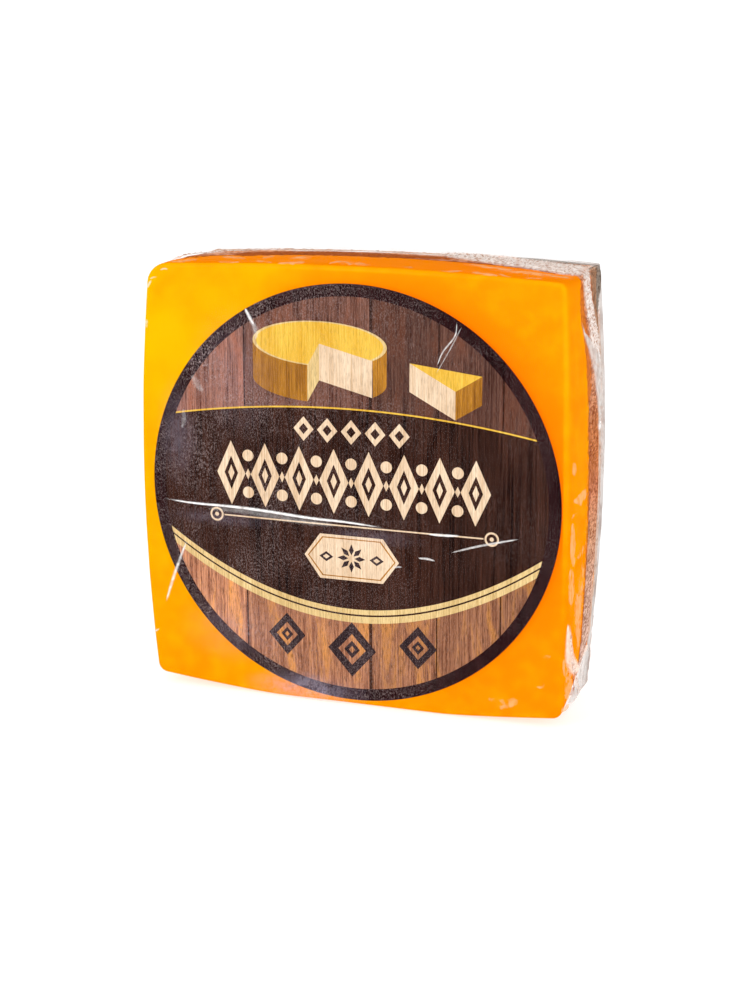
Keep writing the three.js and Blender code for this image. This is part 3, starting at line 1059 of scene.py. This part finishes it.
def build_film(materials):
    """The shrink film as one closed skin, with the weld's fin round the back."""
    front_edge = [
        square_loop(FRONT_Y + behind, FRONT_CORNERS, FRONT_BOW, inset=inset)
        for inset, behind in rounding(FRONT_EDGE_RADIUS, (0, 20, 40, 60, 80))
    ]
    side_places = np.linspace(FRONT_Y + FRONT_EDGE_RADIUS, SEAM_ROOT_Y, FILM_SIDE_LOOPS)
    sides = [wrinkled(side_loop(y)) for y in side_places]
    # The fin's loops: how deep each lies, and its share of the way out from the root to the rim.
    seam = [
        seam_loop(SEAM_ROOT_Y + 0.4, 0.2),
        seam_loop(SEAM_ROOT_Y + 0.8, 0.45),
        seam_loop(SEAM_FRONT_Y, 0.9),
        seam_loop(SEAM_FRONT_Y),
        seam_loop(SEAM_FRONT_Y + SEAM_THICKNESS),
    ]
    back_rims = [
        square_loop(BACK_Y - 0.5, BACK_CORNERS, BACK_BOW, inset=1.5),
        square_loop(BACK_Y, BACK_CORNERS, BACK_BOW, inset=BACK_EDGE_INSET),
    ]
    front_face = face_rings(front_edge[0], front_face_y, 0.0, FILM_FACE_SHARES)
    back_face = face_rings(back_rims[-1], back_face_y, 0.0, FILM_FACE_SHARES[::-1])
    loops = [*front_face, *front_edge, *sides, *seam, *back_rims, *back_face]
    points, faces = capped_loft(loops, (0, front_face_y(0, 0), 0), (0, back_face_y(0, 0), 0))
    count = len(loops[0])
    root = len(front_face) + len(front_edge) + len(sides) - 1
    rows = {row: ROOT for row in range(root - WELD_ROOT_ROWS, root + 1)}
    rows |= {row: WELD for row in range(root + 1, root + 1 + WELD_ROWS)}
    skin = []
    for face in faces:
        first, last = min(face) // count, max(face) // count
        kind = rows.get(first, CLEAR) if last == first + 1 else CLEAR
        x, _, z = points[min(face)]
        if kind == ROOT and z > abs(x) + UPPER_ROOT_START:
            kind = UPPER_ROOT
        elif kind == ROOT and x > 0 and z < WELD_ROOT_FOOT - WELD_ROOT_SLANT * (root - first):
            kind = WELD
        skin.append(kind)
    make_piece(
        "shrink_film", points, faces, [materials[name] for name in SKIN_FILMS],
        ["wrapped_block"], skin, shades=False,
    )
    return BVHTree.FromPolygons(points.tolist(), faces)


# ---- Places on the film ----
# Each kind of view gives a function from two numbers to a place on the film and its outward
# direction there.

OUTSIDE = 400.0


def film_spot(surface, origin, direction):
    """Where a ray meets the film, or comes nearest to it, and the outward direction there."""
    spot, outward, *_ = surface.ray_cast(origin, direction)
    if spot is None:
        nearest_pass = origin - direction * origin.dot(direction)
        spot, outward, *_ = surface.find_nearest(nearest_pass)
    if outward.dot(direction) > 0:
        outward = -outward
    return spot, outward


def side_view(surface, side):
    """Places on a narrow side, from the place along it and the depth behind the front."""
    outward, along_side = {
        "right": (Vector((1, 0, 0)), Vector((0, 0, 1))),
        "left": (Vector((-1, 0, 0)), Vector((0, 0, 1))),
        "top": (Vector((0, 0, 1)), Vector((1, 0, 0))),
    }[side]

    def locate(along, depth):
        origin = outward * OUTSIDE + along_side * along + Vector((0, FRONT_Y + depth, 0))
        return film_spot(surface, origin, -outward)

    return locate


def back_view(surface):
    """Places on the back, from X and Z."""
    return lambda x, z: film_spot(surface, Vector((x, OUTSIDE, z)), Vector((0, -1, 0)))


def photo_view(surface):
    """Places that show at a pixel of the photograph, from its column and row."""
    back, right, up = camera_axes()
    eye = Vector(CAMERA_FROM_FACE) + Vector((0, front_face_y(0, 0), 0))

    def locate(column, row):
        sideways = right * ((column - PHOTO_WIDTH / 2) / PHOTO_FOCAL)
        upwards = up * ((PHOTO_HEIGHT / 2 - row) / PHOTO_FOCAL)
        return film_spot(surface, eye, (sideways + upwards - back).normalized())

    return locate


# ---- Pleats, creases and slack film ----

def smooth_path(points, step):
    """Points about a step apart on a smooth curve through the given points."""
    points = [np.array(point, dtype=float) for point in points]
    ends = [2 * points[0] - points[1], *points, 2 * points[-1] - points[-2]]
    path = []
    for before, start, end, after in zip(ends, ends[1:], ends[2:], ends[3:]):
        count = max(2, round(np.linalg.norm(end - start) / step))
        for share in np.arange(count) / count:
            path.append(0.5 * (2 * start + (end - before) * share
                               + (2 * before - 5 * start + 4 * end - after) * share ** 2
                               + (3 * start - before - 3 * end + after) * share ** 3))
    return np.array([*path, points[-1]])


def resampled(points, count):
    """Evenly spaced points along a line."""
    points = np.array(points, dtype=float)
    travelled = np.concatenate([[0], np.cumsum(np.linalg.norm(np.diff(points, axis=0), axis=1))])
    places = np.linspace(0, travelled[-1], count)
    return np.stack([np.interp(places, travelled, column) for column in points.T], axis=1)


STROKE_ENDS = 0.25
STROKE_FULLNESS = 0.6


def stroke(route, width):
    """The two edges of a line along a route, widest in its middle."""
    path = smooth_path(route, max(1.0, width / 2))
    along = np.gradient(path, axis=0)
    across = np.stack([-along[:, 1], along[:, 0]], axis=1)
    across /= np.linalg.norm(across, axis=1)[:, None]
    share = np.linspace(0, 1, len(path))
    half = width / 2 * (STROKE_ENDS + (1 - STROKE_ENDS) * np.sin(np.pi * share) ** STROKE_FULLNESS)
    return path - across * half[:, None], path + across * half[:, None]


RELIEF_MIN_ROWS = 7
RELIEF_CLEARANCE = 0.04
RELIEF_SINK = 0.1
RELIEF_SEED_STEP = 0.37
BUMP_STRENGTH = 1.6
BUMP_SCALE = 1.5
LOWEST_BUMP = 0.05
COVER_SCALE = 3
COVER_VARIATION = 0.5
END_FADE = 0.2                                # of the way from an end to the middle
END_STEEPNESS = 3


class Relief:
    """Low closed reliefs on the film, gathered into one piece."""

    def __init__(self):
        self.points = []
        self.faces = []
        self.cover = []

    def add(self, locate, edges, lift=0.3, bumps=0.0, cover=1.0, step=1.0, across=7, soft=0.5):
        """One relief between two edges. Its cover fades towards its rim, and its underside has none."""
        first_edge, second_edge = edges
        length = np.linalg.norm(np.diff(np.array(first_edge, dtype=float), axis=0), axis=1).sum()
        along = max(RELIEF_MIN_ROWS, round(length / step))
        seed = len(self.points) * RELIEF_SEED_STEP
        upper, lower, covers = [], [], []
        rows = zip(resampled(first_edge, along), resampled(second_edge, along))
        for row, (start, end) in enumerate(rows):
            to_end = min(row, along - 1 - row) / (along - 1) * 2
            for column in range(across):
                to_edge = min(column, across - 1 - column) / (across - 1) * 2
                inner = min(1.0, to_edge / soft) * min(1.0, to_end / END_FADE)
                spot, outward = locate(*(start + (end - start) * column / (across - 1)))
                bump = noise.noise(Vector(spot) / BUMP_SCALE + Vector((seed, 0, 0))) * BUMP_STRENGTH
                swell = math.sqrt(max(0.0, min(to_edge, to_end * END_STEEPNESS, 1.0)))
                swell *= max(LOWEST_BUMP, 1 + bumps * bump)
                upper.append(tuple(spot + outward * (RELIEF_CLEARANCE + lift * swell)))
                lower.append(tuple(spot - outward * RELIEF_SINK))
                patchy = 1 + COVER_VARIATION * noise.noise(Vector(spot) / COVER_SCALE + Vector((0, seed, 0)))
                covers.append(cover * patchy * inner * inner * (3 - 2 * inner))
        self._close(upper, lower, along, across)
        self.cover += covers + [0.0] * len(covers)

    def _close(self, upper, lower, along, across):
        first = len(self.points)
        under = first + len(upper)
        self.points += upper + lower
        for row in range(along - 1):
            for column in range(across - 1):
                near = row * across + column
                corners = (near, near + 1, near + across + 1, near + across)
                self.faces.append(tuple(first + corner for corner in corners))
                self.faces.append(tuple(under + corner for corner in corners[::-1]))
        rim = list(range(across))
        rim += [row * across + across - 1 for row in range(1, along)]
        rim += [(along - 1) * across + column for column in range(across - 2, -1, -1)]
        rim += [row * across for row in range(along - 2, 0, -1)]
        for start, end in zip(rim, rim[1:] + rim[:1]):
            self.faces.append((first + end, first + start, under + start, under + end))

    def build(self, name, material):
        marks = {"cover": np.array(self.cover)}
        make_piece(
            name, self.points, self.faces, [material], ["wrapped_block"],
            marks=marks, shades=False,
        )


# Routes in pixels of the photograph, with the width in pixels, the lift in millimetres and the cover.
# White creases on the front, partly the film's own whitening and partly painted highlights; the last four
# are painted glints at the upper left corner.
FRONT_CREASES = [
    ([(163, 498), (195, 503), (245, 508), (310, 518), (345, 522), (385, 528)], 3.8, 0.35, 1.4),
    ([(205, 508), (250, 512), (300, 521), (340, 526)], 8.0, 0.1, 0.2),
    ([(427, 534), (445, 535.5), (460, 536)], 3.4, 0.3, 1.2),
    ([(450, 553), (480, 546), (520, 539)], 3.2, 0.3, 0.8),
    ([(418, 558), (428, 559), (435, 561)], 3.2, 0.3, 0.8),
    ([(393, 567), (397, 567), (402, 567)], 2.6, 0.25, 0.6),
    ([(187, 540), (175, 573), (166, 602)], 4.2, 0.25, 0.8),
    ([(155.5, 631), (157, 630), (159.5, 628.5)], 2.4, 0.25, 0.7),
    ([(457, 322), (455, 336), (443, 352), (437, 366)], 2.4, 0.25, 0.8),
    ([(462, 326), (452, 346), (436, 374)], 1.8, 0.25, 0.5),
    ([(245, 308), (249, 316), (254, 325)], 4.6, 0.25, 0.9),
    ([(249, 318), (255, 328), (256, 340)], 7.0, 0.1, 0.35),
    ([(192, 374), (196, 383), (204, 392)], 9.0, 0.1, 0.2),
    ([(183, 408), (184, 418), (182, 428)], 6.0, 0.1, 0.2),
    ([(147.5, 288), (149, 284), (151.5, 280)], 3.2, 0.2, 0.6),
    ([(150, 279), (154, 277), (157, 277.5)], 2.4, 0.15, 0.4),
    ([(160, 270), (164, 268.5), (168, 269.5)], 2.4, 0.15, 0.45),
    ([(143, 330), (143.5, 325), (145, 320)], 2.6, 0.15, 0.4),
]
TOP_GLINTS = [
    ([(440, 271), (451, 271.5), (463, 271)], 3.0, 0.1, 0.75),
    ([(470, 272), (484, 274), (499, 276)], 4.4, 0.1, 0.7),
    ([(498, 274), (505, 276), (511, 277.5)], 2.6, 0.1, 0.65),
    ([(523, 278), (533, 278.5), (543, 279)], 2.6, 0.1, 0.65),
    ([(404, 267), (409, 267.5), (413, 267.5)], 3.0, 0.1, 0.6),
    ([(168, 262), (182, 261), (198, 259.5)], 3.4, 0.1, 0.7),
    ([(218, 262), (230, 262.5), (240, 262)], 3.4, 0.1, 0.7),
    ([(222, 257), (234, 257.5), (246, 259)], 3.4, 0.1, 0.65),
    ([(256, 261), (264, 262), (272, 262.5)], 3.4, 0.1, 0.7),
    ([(262, 258), (268, 257), (274, 256)], 3.4, 0.1, 0.6),
    ([(278, 263.5), (292, 263), (306, 262)], 4.2, 0.1, 0.7),
    ([(290, 259), (300, 258), (312, 257.5)], 4.4, 0.1, 0.6),
    ([(328, 264), (340, 262), (352, 262.5)], 4.0, 0.1, 0.65),
    ([(345, 264), (358, 264), (372, 266)], 4.0, 0.1, 0.55),
    ([(463, 263.5), (490, 267.5), (509, 270.5), (540, 274.5), (577, 279)], 5.0, 0.1, 0.7),
]
SIDE_GLINTS = [
    ([(574, 462), (574.4, 469), (574, 477)], 5.0, 0.1, 0.5),
    ([(571, 519.5), (574, 515), (578, 512.5)], 2.4, 0.1, 0.45),
    ([(572.6, 523), (572.8, 538), (572.6, 552), (573.4, 567)], 6.4, 0.1, 0.9),
    ([(585, 545), (580, 554), (577, 560)], 4.4, 0.1, 0.5),
    ([(571, 568), (571.6, 586), (570.5, 607)], 6.8, 0.1, 0.8),
    ([(583, 562), (582, 577), (579, 598)], 6.0, 0.1, 0.45),
    ([(563.6, 659), (564, 668), (564.6, 677)], 3.6, 0.15, 0.8),
    ([(569, 704), (565.5, 708), (561, 712)], 5.3, 0.15, 0.9),
    ([(568.5, 668), (568.5, 684), (566.5, 702)], 8.4, 0.1, 0.7),
    ([(543, 659), (547, 657), (551, 655)], 7.2, 0.1, 0.25),
    ([(537, 687), (541, 685), (546, 683)], 7.2, 0.1, 0.28),
    ([(489, 698), (504, 704), (520, 701)], 13.2, 0.1, 0.32),
]
# Painted highlights: broad patches of glint on the right side.
SIDE_GLINT_PATCHES = [
    (
        [(586, 486), (580, 492), (576, 497), (572.5, 500)],
        [(587, 495), (585, 500), (581, 507), (573.5, 502.5)],
    ),
    (
        [(575, 592), (574, 606), (574.4, 620), (575.4, 634), (577, 650)],
        [(584, 592), (582.6, 606), (581.4, 620), (580.4, 634), (579, 650)],
    ),
]
LOW_GLARE = (
    [(567.5, 623), (565.8, 635), (564.6, 650), (564.2, 660), (566, 668), (570.5, 677)],
    [(568.1, 623), (570.8, 635), (573.4, 650), (576, 658), (582, 666), (580, 674)],
)
# Brown film: along the back of the upper side, and in front of the band.
BROWN_STREAKS = [
    ([(176, 260), (192, 257.2), (212, 256)], 2.4, 0.1, 0.6),
    ([(466, 261.4), (480, 263.2), (495, 265)], 1.8, 0.1, 0.7),
    ([(538, 270.6), (547, 272), (557, 274.4)], 2.0, 0.1, 0.8),
    ([(572.4, 674), (573.6, 684), (573.4, 692), (571, 700)], 2.2, 0.1, 0.8),
]
BROWN_PATCH = (
    [
        (222, 253.6), (240, 252.4), (262, 251.4), (290, 251), (330, 251.2), (372, 252.8), (410, 254.8),
        (445, 256.8), (466, 259.6),
    ],
    [
        (222, 256.6), (240, 256.6), (262, 255.9), (290, 255.6), (330, 255.9), (372, 257.8), (410, 258.8),
        (445, 260.2), (466, 262.4),
    ],
)
# Amber film: a painted shadow of the film's fold along the band's front edge, and a strip of the band's
# print at the upper right.
BAND_EDGE_SHADOWS = [
    ([(587.6, 400), (588.2, 440), (588, 490), (587, 530)], 3.0, 0.1, 0.6),
    ([(587.4, 515), (585.6, 555), (583.2, 605), (580, 655)], 3.0, 0.1, 0.6),
]
AMBER_PATCH = (
    [
        (580.4, 276), (579.6, 295), (579.8, 312), (581, 325), (583.4, 340), (585.8, 360),
        (586.8, 385), (587.4, 410),
    ],
    [
        (583, 276), (583.6, 295), (585, 312), (587.6, 325), (589.6, 340), (591.5, 360),
        (592, 385), (589.6, 410),
    ],
)
# The two edges of each broad pleat, in pixels.
TOP_PLEAT = (
    [
        (436, 252.5), (463, 252.5), (490, 254.2), (509, 256), (540, 260), (560, 262.6),
        (572, 264), (584, 265.4), (593, 266.4),
    ],
    [
        (440, 256.5), (463, 260), (490, 264.4), (509, 267), (540, 271.5), (560, 275),
        (572, 276.6), (584, 276), (591, 274),
    ],
)
RIGHT_PLEAT = (
    [
        (582, 267), (582.6, 277), (583.2, 287.5), (584.2, 300), (586, 312.5), (588, 325),
        (590, 340), (592, 352),
    ],
    [
        (589.5, 267), (590, 277), (590.6, 287.5), (592.4, 300), (595, 312.5), (597, 325),
        (599.4, 340), (600.6, 352),
    ],
)
# A thinner sheet of film that spans to the fin.
RIGHT_SHEET = (
    [(580.5, 320), (583, 333), (586, 346), (589, 358), (592.5, 370), (596, 398), (599.6, 430), (601.6, 475)],
    [
        (581.5, 320), (585.5, 333), (598, 346), (602, 358), (603, 370), (604.6, 398),
        (604.6, 430), (603.6, 475),
    ],
)
# Slack film at the upper right corner: a see-through part over the band's brown, and a dark fold with its
# edges, whose darkness is painted shade.
EAR_SEE_THROUGH = (
    [(588.5, 268.5), (590.5, 278), (591, 288), (592.4, 300), (595, 315), (597, 332)],
    [(597.6, 265), (597, 275), (596.5, 290), (596.3, 303), (598, 318), (599, 334)],
)
EAR_FOLD_SHADE = (
    [(595.5, 266), (595.6, 278), (595.6, 290), (595.8, 300), (596.6, 314)],
    [(599.4, 264.8), (600.4, 275), (600.4, 288), (599, 300), (597.6, 314)],
)
EAR_EDGES = [
    ([(598.6, 264.5), (600.2, 272), (600.5, 282), (599.8, 294)], 1.5, 0.2, 1.0),
    ([(597.8, 264.8), (592, 267.5), (587, 270)], 1.4, 0.2, 0.8),
]
# White glints on the thin sheet.
SHEET_GLINTS = [
    ([(598.5, 388), (601, 389.4), (603.6, 390)], 2.6, 0.2, 0.9),
    ([(601, 403), (602.2, 406), (603.4, 410)], 3.2, 0.2, 0.9),
    ([(602.4, 412), (600.6, 421), (598.6, 431)], 5.4, 0.2, 0.9),
    ([(596, 342), (598.6, 352), (600.4, 364)], 2.0, 0.2, 0.7),
    ([(598.6, 292), (598.4, 302), (599.4, 316)], 1.8, 0.2, 0.9),
]
FIN_LINE = ([(512, 257.5), (540, 260), (570, 263), (598, 265.4)], 2.6, 0.1, 0.3)
LOW_SLACK = (
    [(585.5, 646), (582, 656), (579, 666), (575.5, 676), (573.6, 686), (570.6, 694), (566, 705)],
    [(589.5, 646), (588, 658), (586.5, 674), (583, 688), (578, 697), (570, 706)],
)
LOW_HIGHLIGHT = ([(587.4, 644), (585.6, 650), (583, 657)], 3.6, 0.2, 1.0)
# What the photograph doesn't show, in millimetres: creases on the back, and pleats on the sides with
# their view.
BACK_CREASES = [
    ([(-112, 110), (-98, 98), (-80, 88), (-58, 82)], 3.4, 0.5, 0.9),
    ([(-104, 114), (-92, 104), (-76, 98)], 2.2, 0.3, 0.6),
    ([(-114, 98), (-105, 86), (-98, 68)], 2.2, 0.3, 0.5),
    ([(112, 108), (100, 95), (88, 76), (82, 54)], 3.4, 0.5, 0.9),
    ([(106, 112), (90, 102), (72, 97)], 2.2, 0.3, 0.6),
    ([(-112, -106), (-98, -94), (-80, -86), (-57, -82)], 3.0, 0.5, 0.8),
    ([(-114, -95), (-105, -83), (-99, -66)], 2.2, 0.3, 0.5),
    ([(98, -94), (88, -78), (80, -58)], 3.0, 0.5, 0.8),
    ([(86, -98), (72, -86), (54, -80)], 2.2, 0.3, 0.5),
    ([(-96, 34), (-54, 27), (-8, 30), (46, 22), (84, 25)], 2.8, 0.35, 0.8),
    ([(-88, 29), (-52, 22), (-14, 25)], 6.0, 0.1, 0.2),
    ([(-70, -40), (-30, -37), (18, -44)], 2.4, 0.3, 0.5),
    ([(20, 74), (42, 66), (60, 52)], 2.2, 0.3, 0.4),
    ([(50, -8), (64, -24), (71, -44)], 2.0, 0.25, 0.35),
]
LEFT_PLEATS = [
    ([(126, 22), (112, 36), (94, 50), (70, 63)], 6.0, 1.0, 0.8),
    ([(-121, 24), (-104, 40), (-82, 55), (-60, 64)], 6.0, 0.9, 0.7),
    ([(40, 59), (18, 61), (-12, 60), (-40, 63)], 3.0, 0.4, 0.4),
]
TOP_BACK_PLEAT = ([(-126, 24), (-110, 40), (-88, 53), (-62, 64)], 6.0, 0.9, 0.7)
RIGHT_FOOT_PLEAT = ([(-72, 5), (-98, 14), (-116, 28), (-127, 42)], 6.0, 0.8, 0.6)


def lines(strokes, view="photo", **settings):
    """A relief for each line along a route, which is given with its width, lift and cover."""
    return [
        (view, stroke(route, width), {"lift": lift, "cover": cover, **settings})
        for route, width, lift, cover in strokes
    ]


def areas(*edge_pairs, **settings):
    return [("photo", edges, settings) for edges in edge_pairs]


def film_details():
    """Each piece's film, and its reliefs, as the view, the edges and the settings of each."""
    fine = {"bumps": 0.5, "soft": 0.9}
    torn = {"bumps": 0.3, "soft": 0.9}
    return {
        "film_creases_and_glints": ("creased_and_glinting_film", [
            *lines(FRONT_CREASES + SHEET_GLINTS, **fine),
            *lines(BACK_CREASES, "back", **fine),
        ]),
        "warm_glints": ("glinting_film", [
            *lines(TOP_GLINTS, **fine),
            *lines(SIDE_GLINTS, bumps=0.5),
            *areas(*SIDE_GLINT_PATCHES, lift=0.1, cover=0.8, across=10),
        ]),
        "low_glare": ("glaring_film", [
            *areas(LOW_GLARE, lift=0.2, across=10),
            *lines([LOW_HIGHLIGHT]),
        ]),
        "brown_streaks": ("streaked_film", [
            *lines(BROWN_STREAKS, **torn),
            *areas(BROWN_PATCH, lift=0.1, across=9),
        ]),
        "amber_shadows_and_print": ("amber_shadow_and_print_film", [
            *lines(BAND_EDGE_SHADOWS, **torn),
            *areas(AMBER_PATCH, lift=0.1, across=9, soft=0.4),
        ]),
        "film_pleats": ("pleated_film", [
            *areas(TOP_PLEAT, RIGHT_PLEAT, lift=0.9, bumps=1.1, step=0.8, across=12, soft=0.3),
            *lines(LEFT_PLEATS, "left", bumps=0.9, across=9),
            *lines([TOP_BACK_PLEAT], "top", bumps=0.9, across=9),
            *lines([RIGHT_FOOT_PLEAT], "right", bumps=0.9, across=9),
        ]),
        "slack_film": ("slack_film", [
            *areas(RIGHT_SHEET, lift=0.3, bumps=0.3, cover=0.9, across=10),
            *areas(LOW_SLACK, lift=0.3, bumps=0.4, cover=0.9, across=10),
        ]),
        "corner_film_brown": ("brown_slack_film", [
            *areas(EAR_SEE_THROUGH, lift=0.3, bumps=0.4, soft=0.3),
        ]),
        "corner_film_fold": ("dark_fold_film", [
            *areas(EAR_FOLD_SHADE, lift=0.4, bumps=0.4, soft=0.3),
            *lines(EAR_EDGES, bumps=0.2, across=5),
            *lines([FIN_LINE], across=5),
        ]),
    }


def build_film_details(surface, materials):
    views = {side: side_view(surface, side) for side in ("right", "left", "top")}
    views["back"] = back_view(surface)
    views["photo"] = photo_view(surface)
    for name, (film_name, reliefs) in film_details().items():
        piece = Relief()
        for view, edges, settings in reliefs:
            piece.add(views[view], edges, **settings)
        piece.build(name, materials[film_name])


# ---- Light, floor and camera ----

PHOTO_WIDTH = 750
PHOTO_HEIGHT = 1000
PHOTO_FOCAL = 2200.0                          # in pixels
SENSOR = 36.0
CAMERA_AZIMUTH = math.radians(18.61)
CAMERA_ELEVATION = math.radians(15.51)
CAMERA_FROM_FACE = (416.3, -1193.0, 344.7)    # from the middle of the front face, in mm
CLIP_END = 200.0
FLOOR_REACH = 40.0
FLOOR_LINES = 9
LIGHT_TARGET = (0, 0, 0.14)
WORLD_STRENGTH = 0.85


def build_floor(material):
    steps = np.linspace(-FLOOR_REACH, FLOOR_REACH, FLOOR_LINES)
    points = [(x, y, cad_low[2]) for y in steps for x in steps]
    faces = []
    for row in range(FLOOR_LINES - 1):
        for column in range(FLOOR_LINES - 1):
            corner = row * FLOOR_LINES + column
            faces.append((corner, corner + 1, corner + 1 + FLOOR_LINES, corner + FLOOR_LINES))
    mesh = bpy.data.meshes.new("floor")
    mesh.from_pydata(points, [], faces)
    mesh.materials.append(material)
    floor = bpy.data.objects.new("floor", mesh)
    bpy.context.scene.collection.objects.link(floor)


def area_light(name, position, size, power):
    """A square light, turned to the part."""
    light = bpy.data.lights.new(name, "AREA")
    light.shape = "RECTANGLE"
    light.size = light.size_y = size
    light.energy = power
    lamp = bpy.data.objects.new(name, light)
    lamp.location = position
    lamp.rotation_mode = "QUATERNION"
    lamp.rotation_quaternion = (Vector(LIGHT_TARGET) - Vector(position)).to_track_quat("-Z", "Y")
    bpy.context.scene.collection.objects.link(lamp)


def build_light():
    area_light("key", (-1.1, -1.65, 1.25), 1.4, 12.5)
    area_light("fill", (1.8, -0.9, 0.7), 1.2, 4)
    world = bpy.data.worlds.new("studio")
    world.use_nodes = True
    background = world.node_tree.nodes["Background"]
    background.inputs["Color"].default_value = WHITE
    background.inputs["Strength"].default_value = WORLD_STRENGTH
    scene = bpy.context.scene
    scene.world = world
    scene.view_settings.view_transform = "Standard"


def camera_axes():
    """The camera's directions to its back, right and top."""
    back = Vector((
        math.sin(CAMERA_AZIMUTH) * math.cos(CAMERA_ELEVATION),
        -math.cos(CAMERA_AZIMUTH) * math.cos(CAMERA_ELEVATION),
        math.sin(CAMERA_ELEVATION),
    ))
    right = Vector((math.cos(CAMERA_AZIMUTH), math.sin(CAMERA_AZIMUTH), 0.0))
    return back, right, back.cross(right)


def build_camera():
    back, _, _ = camera_axes()
    camera_data = bpy.data.cameras.new("camera")
    camera_data.lens = SENSOR * PHOTO_FOCAL / PHOTO_HEIGHT
    camera_data.sensor_width = SENSOR
    camera_data.sensor_fit = "AUTO"
    camera_data.clip_end = CLIP_END
    camera = bpy.data.objects.new("camera", camera_data)
    face_middle = np.array([0.0, front_face_y(0, 0), 0.0])
    camera.location = place(face_middle + CAMERA_FROM_FACE)
    camera.rotation_mode = "QUATERNION"
    camera.rotation_quaternion = (-back).to_track_quat("-Z", "Y")
    bpy.context.scene.collection.objects.link(camera)
    bpy.context.scene.camera = camera


# ---- Assembly ----

build_camera()
build_light()
build_floor(floor_material())
build_cheese(cheese_coating())
build_label(label_inks())
build_band(band_ink())
films = film_materials()
build_film_details(build_film(films), films)
